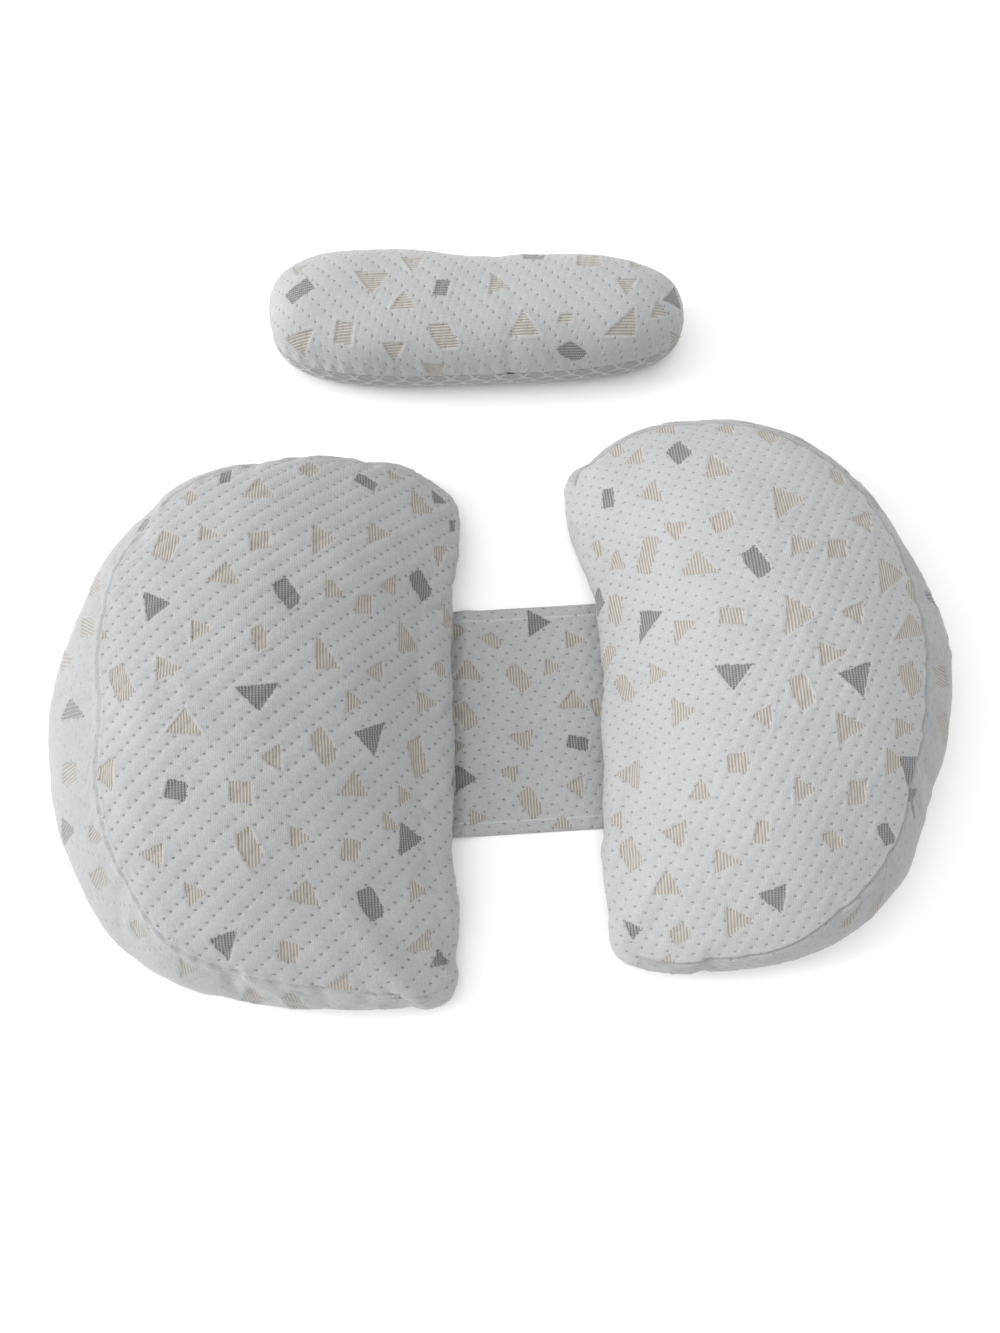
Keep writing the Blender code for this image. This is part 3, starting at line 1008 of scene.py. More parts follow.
def lumps(points, size, seed):
    """Soft uneven waves from -1 to 1, about as long as size."""
    chance = np.random.default_rng(seed)
    total = 0.0
    for _ in range(LUMP_WAVES):
        direction = chance.normal(size=3)
        direction /= np.linalg.norm(direction)
        wave = 2 * math.pi / (size * chance.uniform(*LUMP_SPREAD))
        total = total + np.sin(points @ direction * wave + chance.uniform(0, 2 * math.pi))
    return total / LUMP_SCALE


def cloth_offsets(grid, held):
    """How far a slack knit cover moves when its filling presses it out, for each point of a coarse grid."""
    rows, count = grid.shape[:2]
    inner = grid[1:-1]
    faces = []
    for part in grid_faces(rows - 2, count):
        faces.extend(part.tolist())
    points = np.concatenate([grid[0, :1], inner.reshape(-1, 3), grid[-1, :1]])
    mesh = bpy.data.meshes.new("slack_cover")
    mesh.from_pydata(points.tolist(), [], faces)
    cover = bpy.data.objects.new("slack_cover", mesh)
    bpy.context.scene.collection.objects.link(cover)
    group = cover.vertex_groups.new(name="held")
    weights = np.concatenate([held[0, :1], held[1:-1].ravel(), held[-1, :1]])
    for level in np.unique(np.round(weights, 2)):
        chosen = np.nonzero(np.round(weights, 2) == level)[0].tolist()
        group.add(chosen, float(level), "REPLACE")
    cloth = cover.modifiers.new("filling", "CLOTH")
    settings = cloth.settings
    settings.quality = 6
    settings.mass = 0.25
    settings.tension_stiffness = 20
    settings.compression_stiffness = 8
    settings.shear_stiffness = 5
    settings.bending_stiffness = 0.6
    settings.air_damping = 4
    settings.effector_weights.gravity = 0
    settings.use_pressure = True
    settings.uniform_pressure_force = CLOTH_PRESSURE
    settings.shrink_min = -CLOTH_SLACK
    settings.vertex_group_mass = "held"
    settings.pin_stiffness = 1.0
    cloth.point_cache.frame_start = 1
    cloth.point_cache.frame_end = CLOTH_FRAMES
    scene = bpy.context.scene
    for number in range(1, CLOTH_FRAMES + 1):
        scene.frame_set(number)
    graph = bpy.context.evaluated_depsgraph_get()
    moved = cover.evaluated_get(graph).to_mesh()
    places = np.empty(len(moved.vertices) * 3, np.float32)
    moved.vertices.foreach_get("co", places)
    offset = places.reshape(-1, 3).astype(float) - points
    scene.frame_set(1)
    bpy.data.objects.remove(cover, do_unlink=True)
    size = np.linalg.norm(offset, axis=1, keepdims=True)
    offset *= np.tanh(size / MOST_MOVE) * MOST_MOVE / np.maximum(size, 1e-9)
    found = np.zeros_like(grid)
    found[1:-1] = offset[1:-1].reshape(rows - 2, count, 3)
    found[0] = offset[0]
    found[-1] = offset[-1]
    return found


def calmed_at_ends(offset, lengths):
    """Near the crown, where the columns crowd together, all points move alike."""
    share = smooth_step(lengths / CROWN_ZONE)[:, None, None]
    near = int(np.searchsorted(lengths, CROWN_ZONE))
    return share * offset + (1 - share) * offset[near].mean(0)


def cloth_movement(frame_grid, places, columns):
    """How far each point of a wedge's fine grid moves, read from the simulation of a coarse one."""
    lengths = row_lengths(frame_grid)
    coarse_places, _ = row_places(lengths, CLOTH_STEP, CLOTH_STEP)
    coarse = along_rows(round_columns(frame_grid, CLOTH_COLUMNS), coarse_places)
    held = np.where(coarse_places >= WIDEST_RING + 2, 1.0, 0.0)
    held = np.maximum(held, SEAM_HOLD * gaussian(coarse_places - SEAM_RING, SEAM_HOLD_RINGS))
    held = np.broadcast_to(held[:, None], coarse.shape[:2])
    offset = calmed_at_ends(cloth_offsets(coarse, held), row_lengths(coarse))
    at = np.interp(places, coarse_places, np.arange(len(coarse_places)))
    return along_rows(round_columns(offset, columns), at)


def surface_lengths(grid):
    """Length along each column from the first row."""
    steps = np.linalg.norm(np.diff(grid, axis=0), axis=2)
    return np.concatenate([np.zeros((1, grid.shape[1])), np.cumsum(steps, axis=0)])


def closed_column(values):
    """The values with their first column once more at the end."""
    return np.concatenate([values, values[:, :1]], 1)


def wedge_fabric(grid, centre, seam_row, start):
    """Fabric coordinates of the top panel, spread from the crown, and of the gusset, along the outline."""
    along = surface_lengths(grid)
    outward = grid[seam_row, :, :2] - (np.array(centre) - SET_MIDDLE[:2])
    outward /= np.linalg.norm(outward, axis=1, keepdims=True)
    top = along[:, :, None] * outward[None]
    outline = grid[seam_row]
    steps = np.linalg.norm(np.roll(outline, -1, 0) - outline, axis=1)
    passed = np.concatenate([[0.0], np.cumsum(steps)])
    around = passed - passed[start]
    around[:start] += passed[-1]
    down = closed_column(along[seam_row] - along)
    side = np.stack([np.broadcast_to(around, down.shape), down], 2)
    return closed_column(top), side


def lift_over_band(grid):
    """Raises the base a little where the band lies under it."""
    x = grid[..., 0] + SET_MIDDLE[0]
    y = grid[..., 1] + SET_MIDDLE[1]
    in_x = smooth_step((x - BAND_LEFT + 2 * POCKET_MARGIN) / POCKET_MARGIN)
    in_x *= smooth_step((BAND_RIGHT + 2 * POCKET_MARGIN - x) / POCKET_MARGIN)
    in_y = smooth_step((y - BAND_FRONT + 2 * POCKET_MARGIN) / POCKET_MARGIN)
    in_y *= smooth_step((BAND_BACK + 2 * POCKET_MARGIN - y) / POCKET_MARGIN)
    grid[..., 2] = np.maximum(grid[..., 2], (HEM_THICKNESS + 2 * GAP) * in_x * in_y)


def chip_relief(field):
    """The chips lie a little lower than the knit round them, which puffs up at their edges."""
    near = field.min(axis=-1)
    puff = CHIP_PUFF * gaussian(near - CHIP_PUFF_PLACE, CHIP_PUFF_WIDTH)
    return puff - CHIP_SINK * smooth_step(0.5 - near / CHIP_PUFF_PLACE)


def puffs(fabric, lattice, ridge, dimple):
    """Height of the knit between its tucks: ridges along the second step, and dimples along the first."""
    places = lattice_places(fabric, lattice)
    across = 0.5 + 0.5 * np.cos(2 * math.pi * places[..., 0])
    along = 0.5 + 0.5 * np.cos(2 * math.pi * places[..., 1])
    depth = DIMPLE_BETWEEN_RIDGES + (1 - DIMPLE_BETWEEN_RIDGES) * across
    return ridge * across**RIDGE_ROUNDING + dimple * along * depth


def seen_chips(chips, grid, fabric):
    """Places a piece's chips where the photograph shows them, on the rows that face the camera."""
    seen = grid[..., 2] > SEEN_HEIGHT
    seen[0] = False
    facing = normals_of(grid) @ -photo_axes()[1] > SEEN_FACING
    chosen = seen & facing
    return charted(chips, grid[chosen], fabric[chosen])


def make_wedge(wedge, side_chips, materials):
    """One wedge: blown up, with its seams and its knit in relief. It also gives back its gusset's chips."""
    centre = wedge["centre"]
    corners = wedge["corners"]
    frame_grid = wedge_frame(centre, wedge["sections"], corners)
    places, seam_row = row_places(row_lengths(frame_grid), FINE_STEP, SEAM_STEP)
    still = along_rows(round_columns(frame_grid, FINE_COLUMNS), places)
    grid = still + cloth_movement(frame_grid, places, FINE_COLUMNS)
    middle = np.array(centre) - SET_MIDDLE[:2]
    outline = grid[seam_row, :, :2] - middle
    angles = np.degrees(np.arctan2(outline[:, 1], outline[:, 0])) % 360
    gusset = on_gusset(angles, corners) > 0.5
    starts = np.nonzero(gusset & ~np.roll(gusset, 1))[0]
    top_map, side_map = wedge_fabric(still, centre, seam_row, int(starts[0]))

    chips = seen_chips(wedge["chips"], grid, top_map[:, :-1])
    side_chips = side_chips or seen_chips(SIDE_CHIPS, grid, side_map[:, :-1])
    top_field = chip_field(top_map, chips, np.array(TOP_REPEAT))
    side_field = chip_field(side_map, side_chips, np.array(SIDE_REPEAT))

    share = gusset.astype(float)
    for _ in range(CORNER_BLENDS):
        share = (np.roll(share, 1) + share + np.roll(share, -1)) / 3
    below = np.arange(len(grid))[:, None] > seam_row
    use_side = below & gusset[None]
    along = surface_lengths(grid)
    past_seam = along - along[seam_row]
    calm = smooth_step(abs(past_seam) / SEAM_CALM) * share[None] + (1 - share[None])
    floor_fade = smooth_step(grid[..., 2] / FLOOR_CALM)

    top_relief = puffs(top_map[:, :-1], wedge["lattice"], wedge["ridge"], wedge["dimple"])
    side_relief = GUSSET_PUFFS * puffs(side_map[:, :-1], wedge["lattice"], wedge["ridge"], wedge["dimple"])
    relief = np.where(use_side, side_relief, top_relief)
    relief += np.where(use_side, chip_relief(side_field[:, :-1]), chip_relief(top_field[:, :-1]))
    relief *= calm
    for height, size, step in WEDGE_LUMPS:
        relief += height * lumps(grid, size, wedge["seed"] + step)
    relief += seam_relief(past_seam, wedge["groove"]) * share[None]
    relief += pucker_relief(grid, side_map[:, :-1], past_seam, share, middle, wedge)
    grid = grid + normals_of(grid) * (relief * floor_fade)[..., None]
    grid[..., 2] = np.maximum(grid[..., 2], 0.0)
    lift_over_band(grid)

    lower = use_side[2:-1] & (gusset & np.roll(gusset, -1))[None]
    maps = {
        "fabric": joined_corners(top_map, side_map, lower),
        "chips": joined_corners(top_field, side_field, lower),
    }
    name = wedge["name"]
    piece = add_piece(name + "_cover", grid[1:-1], grid[0].mean(0), grid[-1].mean(0), maps, materials[0])
    piece.data.materials.append(materials[1])
    fan = np.zeros(FINE_COLUMNS, np.int32)
    kinds = np.concatenate([fan, lower.ravel().astype(np.int32), fan])
    piece.data.polygons.foreach_set("material_index", kinds)
    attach(piece, "root")
    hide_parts(name)
    return piece, side_chips


def seam_relief(past_seam, groove):
    """The sewn edge between the top panel and the gusset: a narrow groove between two soft welts."""
    welts = gaussian(abs(past_seam) - WELT_PLACE, WELT_WIDTH)
    return WELT_HEIGHT * welts - groove * gaussian(past_seam, GROOVE_WIDTH)


def pucker_relief(grid, side_map, past_seam, share, middle, wedge):
    """Slanting wrinkles in the gusset, and gathers where its ends are sewn into the corners."""
    on_side = smooth_step(past_seam / WRINKLE_START) * share[None]
    slant = side_map[..., 0] * WRINKLE_SLANT + side_map[..., 1]
    waver = WRINKLE_WAVER * lumps(grid, WAVER_SIZE, wedge["seed"] + 2)
    fine = np.sin(2 * math.pi * slant / WRINKLE_STEP + waver)
    patches = smooth_step(0.5 + lumps(grid, WRINKLE_PATCH, wedge["seed"] + 3))
    relief = WRINKLE_HEIGHT * fine * on_side * patches
    reach = grid[..., :2] - middle
    angle = np.degrees(np.arctan2(reach[..., 1], reach[..., 0]))
    outward = smooth_step((np.linalg.norm(reach, axis=2) - GATHER_START) / GATHER_REACH)
    for corner_angle, depth, spread in wedge["gathers"]:
        off = (angle - corner_angle + 180) % 360 - 180
        for part, waves, phase in GATHER_FOLDS:
            fold = part * np.cos(np.radians(off) * waves + phase)
            relief += depth * fold * gaussian(off, spread) * outward
    return relief


def joined_corners(top_values, side_values, lower):
    """Corner values that change from the top panel's to the gusset's at the seam."""
    top = corner_values(top_values[1:-1], top_values[0].mean(0), top_values[-1].mean(0))
    side = corner_values(side_values[1:-1], side_values[0].mean(0), side_values[-1].mean(0))
    quads = np.where(lower[:, :, None, None], side[1], top[1])
    return flat_list((top[0], quads, top[2]))


def loop_maps(fabric, field, zipped=False):
    """The named maps of a closed grid, from values without their closing column."""
    maps = {}
    for map_name, values in (("fabric", fabric), ("chips", field)):
        top = None if zipped else values[0].mean(0)
        maps[map_name] = flat_list(corner_values(closed_column(values), top, values[-1].mean(0)))
    return maps


def band_lift(x, y):
    """Height of the soft fold beside the left wedge. Its foot runs slantwise from back to front."""
    share = (y - BAND_FRONT) / (BAND_BACK - BAND_FRONT)
    foot = FOLD_FRONT_X + (FOLD_BACK_X - FOLD_FRONT_X) * share
    inward = (foot - x) / FOLD_WIDTH
    return FOLD_RISE * smooth_step(2 * inward) * smooth_step(2 - 2 * inward)


def make_band(material):
    """The hemmed band: a sheet of knit with a turned and stitched hem along its back and front edges."""
    ys = np.linspace(BAND_FRONT, BAND_BACK, BAND_WIDTHS)
    edge = np.minimum(ys - BAND_FRONT, BAND_BACK - ys)
    in_hem = smooth_step((HEM_WIDTH + MM - edge) / MM)
    thickness = BAND_THICKNESS + (HEM_THICKNESS - BAND_THICKNESS) * in_hem
    thickness *= EDGE_SHARE + (1 - EDGE_SHARE) * np.sqrt(smooth_step(edge / EDGE_WIDTH))
    xs = np.linspace(BAND_LEFT, BAND_RIGHT, BAND_STATIONS)
    x, y = np.meshgrid(xs, ys, indexing="ij")
    lift = band_lift(x, y)
    top_map = np.stack([x, y], 2)
    ground = np.stack([x, y, np.zeros_like(x)], 2) - SET_MIDDLE
    chips = charted(BAND_CHIPS, (ground + (0, 0, BAND_THICKNESS)).reshape(-1, 3), top_map.reshape(-1, 2))
    field = chip_field(top_map, chips, np.array(BAND_REPEAT))
    off_stitch = abs(edge - HEM_WIDTH)
    relief = puffs(top_map, TIGHT_LATTICE, BAND_PUFF, BAND_PUFF) + chip_relief(field)
    waver = BAND_WAVER * lumps(ground, BAND_WAVER_SIZE, 31)
    relief += BAND_WAVE_HEIGHT * np.sin(2 * math.pi * y / BAND_WAVE_STEP + waver)
    relief += RIPPLE_HEIGHT * lumps(ground * RIPPLE_STRETCH, RIPPLE_SIZE, 33)
    relief *= smooth_step(off_stitch / HEM_CALM) * smooth_step(edge / HEM_CALM)
    dashes = 0.6 + 0.4 * np.cos(2 * math.pi * x / STITCH_STEP)
    relief -= STITCH_DEPTH * gaussian(off_stitch, STITCH_WIDTH) * dashes
    top = ground.copy()
    top[..., 2] = lift + thickness + relief
    under = ground.copy()
    under[..., 2] = lift + FLOOR_CLEARANCE
    loop, fabric, chip_edges = (
        np.concatenate([upper, lower[:, ::-1]], 1)
        for upper, lower in ((top, under), (top_map, top_map), (field, field))
    )
    maps = loop_maps(fabric, chip_edges)
    piece = add_piece("band_cloth", loop, loop[0].mean(0), loop[-1].mean(0), maps, material)
    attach(piece, "root")
    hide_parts("connecting_band")
    return piece


def small_outline(count):
    """Outline of the small pillow, evenly spaced, and the spine that it is filled around."""
    turn = np.linspace(0.0, 2 * math.pi, SMALL_SAMPLES)
    power = 2 / SMALL_SQUARENESS
    along = np.sign(np.cos(turn)) * np.abs(np.cos(turn)) ** power
    across = np.sign(np.sin(turn)) * np.abs(np.sin(turn)) ** power
    x = SMALL_HALF_LENGTH * along
    y = (SMALL_HALF_DEPTH - SMALL_TAPER * along) * across - SMALL_TURN * along
    y -= WAIST_DEPTH * gaussian(x - WAIST_X, WAIST_WIDTH) * np.clip(across, 0.0, 1.0)
    length = np.concatenate([[0.0], np.cumsum(np.hypot(np.diff(x), np.diff(y)))])
    at = (np.arange(count) + 0.5) * length[-1] / count
    outline = np.stack([np.interp(at, length, x), np.interp(at, length, y)], 1)
    spine_x = outline[:, 0] * SMALL_SPINE
    spine = np.stack([spine_x, -SMALL_TURN * spine_x / SMALL_HALF_LENGTH], 1)
    return outline, spine


def small_rings(count, shares, heights, inward):
    """Rings of the small pillow. A share is 0 on its spine and 1 at its outline, inward is a distance."""
    outline, spine = small_outline(count)
    out = outline - spine
    size = np.linalg.norm(out, axis=1, keepdims=True)
    middle = np.array(SMALL_CENTRE) - SET_MIDDLE[:2]
    grid = np.zeros((len(shares), count, 3))
    for row, (share, height, distance) in enumerate(zip(shares, heights, inward)):
        grid[row, :, :2] = middle + spine + out * share * (1 - distance / size)
        grid[row, :, 2] = height
    return grid


def small_crown(count, rows):
    """The upper side, from the spine out to the seam."""
    turn = np.linspace(0.0, 1.0, rows) ** SMALL_ROUNDING * math.pi / 2
    shares = np.maximum(np.sin(turn) ** (2 / SMALL_CROWN_POWER), LEAST_SPINE_SHARE)
    rise = np.cos(turn) ** (2 / SMALL_CROWN_POWER)
    heights = SMALL_SEAM_HEIGHT - SMALL_SEAM_INSET
    heights = heights + (SMALL_HEIGHT - heights) * rise
    return small_rings(count, shares, heights, np.zeros(rows))


def small_foot(count, rows, inside, top):
    """The lower side, from the seam down to the floor, moved in by a cloth's thickness."""
    turn = np.linspace(0.0, 1.0, rows) * math.pi / 2
    distance = inside + SMALL_FOOT_INSET * (1 - np.cos(turn) ** SMALL_ROUNDING)
    height = inside + (SMALL_SEAM_HEIGHT - inside) * (1 - np.sin(turn))
    return small_rings(count, np.ones(rows), np.minimum(height, top), distance)


def small_fabric(crown):
    """Fabric coordinates of the small pillow, spread from its spine."""
    along = surface_lengths(crown)
    outward = crown[-1, :, :2] - crown[0, :, :2]
    outward /= np.linalg.norm(outward, axis=1, keepdims=True)
    start = crown[0, :, :2] - (np.array(SMALL_CENTRE) - SET_MIDDLE[:2])
    return start[None] + along[:, :, None] * outward[None]


def make_small_pillow(material):
    """The small pillow's upper side, closed underneath inside the cloth of its base."""
    crown = small_crown(SMALL_COLUMNS, SMALL_ROWS)
    rim = SMALL_SEAM_HEIGHT - SMALL_SEAM_INSET
    foot = small_foot(SMALL_COLUMNS, HIDDEN_FOOT_ROWS, BASE_CLOTH + GAP, rim)
    fabric = small_fabric(crown)
    chips = seen_chips(SMALL_CHIPS, crown, fabric)
    field = chip_field(fabric, chips, np.array(SMALL_REPEAT))
    along = surface_lengths(crown)
    to_seam = along[-1] - along
    relief = puffs(fabric, TURNED_LATTICE, SMALL_RIDGE, SMALL_DIMPLE) + chip_relief(field)
    relief *= smooth_step(to_seam / SMALL_CALM)
    slack = lumps(crown, SMALL_LUMP_SIZE, 51) * smooth_step(to_seam / (1.5 * SMALL_CALM))
    relief += SMALL_LUMP_HEIGHT * slack
    relief += small_puckers(crown, to_seam)
    crown = crown + normals_of(crown) * relief[..., None]
    grid = np.concatenate([crown, foot])
    whole = (np.concatenate([values, np.repeat(values[-1:], len(foot), 0)]) for values in (fabric, field))
    maps = loop_maps(*whole, zipped=True)
    piece = add_piece("small_pillow_cover", grid, None, grid[-1].mean(0), maps, material)
    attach(piece, "root")
    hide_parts("small_pillow")


def small_puckers(crown, to_seam):
    """Creases in the dented waist, and short gathers along the seam."""
    x = crown[..., 0] - (SMALL_CENTRE[0] - SET_MIDDLE[0])
    y = crown[..., 1] - (SMALL_CENTRE[1] - SET_MIDDLE[1])
    waver = SMALL_WAVER * lumps(crown, SMALL_WAVER_SIZE, 55)
    gathers = np.sin(2 * math.pi * x / SMALL_GATHER_STEP + waver) * gaussian(to_seam, SMALL_GATHER_REACH)
    relief = SMALL_GATHER_HEIGHT * gathers * smooth_step(to_seam / SMALL_SEAM_INSET)
    for row in WAIST_CREASES:
        crease = dict(zip(CREASE_COLUMNS, row))
        side = crease["side"]
        line = gaussian(x - crease["x"] + crease["lean"] * (y - side * CREASE_END), crease["width"])
        relief -= crease["depth"] * line * smooth_step((side * y - crease["start"]) / crease["fade"])
    return relief


def scale_wall(flat):
    """Distance to the nearest rim of the overlapping round-topped cells."""
    radius = CELL_WIDTH / 2
    row = np.floor(flat[..., 1] / CELL_ROW)
    away = []
    for below in (0, 1):
        shift = np.mod(row - below, 2) * radius
        across = np.mod(flat[..., 0] - shift + radius, CELL_WIDTH) - radius
        up = flat[..., 1] - (row - below) * CELL_ROW
        away.append(np.hypot(across, up) - radius)
    in_front = away[1] < 0
    behind = np.minimum(abs(away[0]), away[1])
    return np.where(in_front, -away[1], behind)


def make_small_base(material):
    """The underside's own cloth: a shallow bowl with raised rims of rounded cells."""
    rim = SMALL_SEAM_HEIGHT - SMALL_SEAM_INSET - GAP
    inner = small_foot(SMALL_COLUMNS, INNER_BASE_ROWS, BASE_CLOTH, rim)[::-1]
    outer = small_foot(SMALL_COLUMNS, OUTER_BASE_ROWS, 0.0, rim)
    along = surface_lengths(outer)
    steps = np.linalg.norm(np.roll(outer[0], -1, 0) - outer[0], axis=1)
    around = np.concatenate([[0.0], np.cumsum(steps)])
    cells = round(around[-1] / CELL_WIDTH)
    around *= cells * CELL_WIDTH / around[-1]
    down = -closed_column(along)
    outer_map = np.stack([np.broadcast_to(around, down.shape), down], 2)
    wall = scale_wall(outer_map[:, :-1])
    relief = RIM_HEIGHT * (1 - smooth_step(wall / RIM_WIDTH)) - CELL_DEPTH
    relief *= smooth_step(along / RIM_CALM) * smooth_step(outer[..., 2] / BASE_CALM)
    outer = outer + normals_of(outer) * relief[..., None]
    outer[..., 2] = np.maximum(outer[..., 2], 0.0)
    grid = np.concatenate([inner, outer])
    inner_map = np.repeat(outer_map[:1], len(inner), 0)
    whole_map = np.concatenate([inner_map, outer_map])
    walls = closed_column(np.stack([wall, wall], 2))
    whole_walls = np.concatenate([np.repeat(walls[:1], len(inner), 0), walls])
    maps = {
        "fabric": flat_list(corner_values(whole_map, whole_map[0].mean(0), whole_map[-1].mean(0))),
        "chips": flat_list(corner_values(whole_walls, whole_walls[0].mean(0), whole_walls[-1].mean(0))),
    }
    piece = add_piece("small_pillow_underside", grid, grid[0].mean(0), grid[-1].mean(0), maps, material)
    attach(piece, "root")
    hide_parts("small_pillow_base")


class Nodes:
    """Short names for adding and joining the nodes of one material."""

    def __init__(self, name):
        self.material = bpy.data.materials.new(name)
        self.material.use_nodes = True
        self.tree = self.material.node_tree
        self.shader = self.tree.nodes["Principled BSDF"]

    def put(self, socket, value):
        if isinstance(value, bpy.types.NodeSocket):
            self.tree.links.new(value, socket)
        else:
            socket.default_value = value

    def math(self, operation, *values, clamp=False):
        node = self.tree.nodes.new("ShaderNodeMath")
        node.operation = operation
        node.use_clamp = clamp
        for socket, value in zip(node.inputs, values):
            self.put(socket, value)
        return node.outputs[0]

    def pair(self, map_name):
        """The two values of a named map."""
        source = self.tree.nodes.new("ShaderNodeUVMap")
        source.uv_map = map_name
        split = self.tree.nodes.new("ShaderNodeSeparateXYZ")
        self.tree.links.new(source.outputs[0], split.inputs[0])
        return split.outputs[0], split.outputs[1]

    def ramp(self, value, low, high):
        """0 where the value is at low, 1 at high, and smooth between."""
        node = self.tree.nodes.new("ShaderNodeMapRange")
        node.interpolation_type = "SMOOTHSTEP"
        for name, number in (("Value", value), ("From Min", low), ("From Max", high)):
            self.put(node.inputs[name], number)
        return node.outputs[0]

    def mix(self, share, first, second):
        node = self.tree.nodes.new("ShaderNodeMix")
        node.data_type = "RGBA"
        node.clamp_factor = True
        self.put(node.inputs[0], share)
        self.put(node.inputs[6], (*first, 1.0) if isinstance(first, tuple) else first)
        self.put(node.inputs[7], (*second, 1.0) if isinstance(second, tuple) else second)
        return node.outputs[2]

    def wave(self, value, step, shift=0.0):
        """A wave from -1 to 1 that repeats after each step."""
        return self.math("SINE", self.math("MULTIPLY_ADD", value, 2 * math.pi / step, shift))

    def noise(self, size, detail=2.0):
        """Noise from 0 to 1 whose lumps are about the given size."""
        place = self.tree.nodes.new("ShaderNodeTexCoord")
        node = self.tree.nodes.new("ShaderNodeTexNoise")
        self.tree.links.new(place.outputs["Object"], node.inputs["Vector"])
        node.inputs["Scale"].default_value = 1 / size
        node.inputs["Detail"].default_value = detail
        return node.outputs["Fac"]

    def cells(self, u, v, width, height):
        """A random number from 0 to 1 for each cell of a fine grid on the fabric."""
        join = self.tree.nodes.new("ShaderNodeCombineXYZ")
        self.put(join.inputs[0], self.math("FLOOR", self.math("DIVIDE", u, width)))
        self.put(join.inputs[1], self.math("FLOOR", self.math("DIVIDE", v, height)))
        node = self.tree.nodes.new("ShaderNodeTexWhiteNoise")
        node.noise_dimensions = "3D"
        self.tree.links.new(join.outputs[0], node.inputs["Vector"])
        return node.outputs["Value"]

    def finish(self, colour, height, roughness, sheen):
        self.put(self.shader.inputs["Base Color"], colour)
        bump = self.tree.nodes.new("ShaderNodeBump")
        bump.inputs["Strength"].default_value = 1.0
        bump.inputs["Distance"].default_value = 1.0
        self.put(bump.inputs["Height"], height)
        self.tree.links.new(bump.outputs[0], self.shader.inputs["Normal"])
        self.shader.inputs["Roughness"].default_value = roughness
        self.shader.inputs["Specular IOR Level"].default_value = 0.25
        self.shader.inputs["Sheen Weight"].default_value = sheen
        self.shader.inputs["Sheen Roughness"].default_value = 0.5
        return self.material


def dot_distance(nodes, u, v, lattice, turned):
    """How far the nearest tucked dot is, as a share of its own size. Its long side runs across the ribs."""
    wide_half, high_half = (DOT_HALF_HEIGHT, DOT_HALF_WIDTH) if turned else (DOT_HALF_WIDTH, DOT_HALF_HEIGHT)
    steps = np.array(lattice) * MM
    back = np.linalg.inv(steps)
    offsets = []
    for column in range(2):
        place = nodes.math("MULTIPLY_ADD", u, back[0, column], nodes.math("MULTIPLY", v, back[1, column]))
        offsets.append(nodes.math("SUBTRACT", nodes.math("FRACT", place), 0.5))
    squares = []
    for axis, half in enumerate((wide_half, high_half)):
        second = nodes.math("MULTIPLY", offsets[1], steps[1, axis])
        away = nodes.math("MULTIPLY_ADD", offsets[0], steps[0, axis], second)
        squares.append(nodes.math("POWER", nodes.math("DIVIDE", away, half), 2.0))
    return nodes.math("SQRT", nodes.math("ADD", *squares))


# A yarn's colour times a tint, which for the knits also holds painted light and shade
def yarn(share, tint_with_painted_light=1.0):
    return tuple(white * part * tint_with_painted_light for white, part in zip(WHITE_YARN, share))


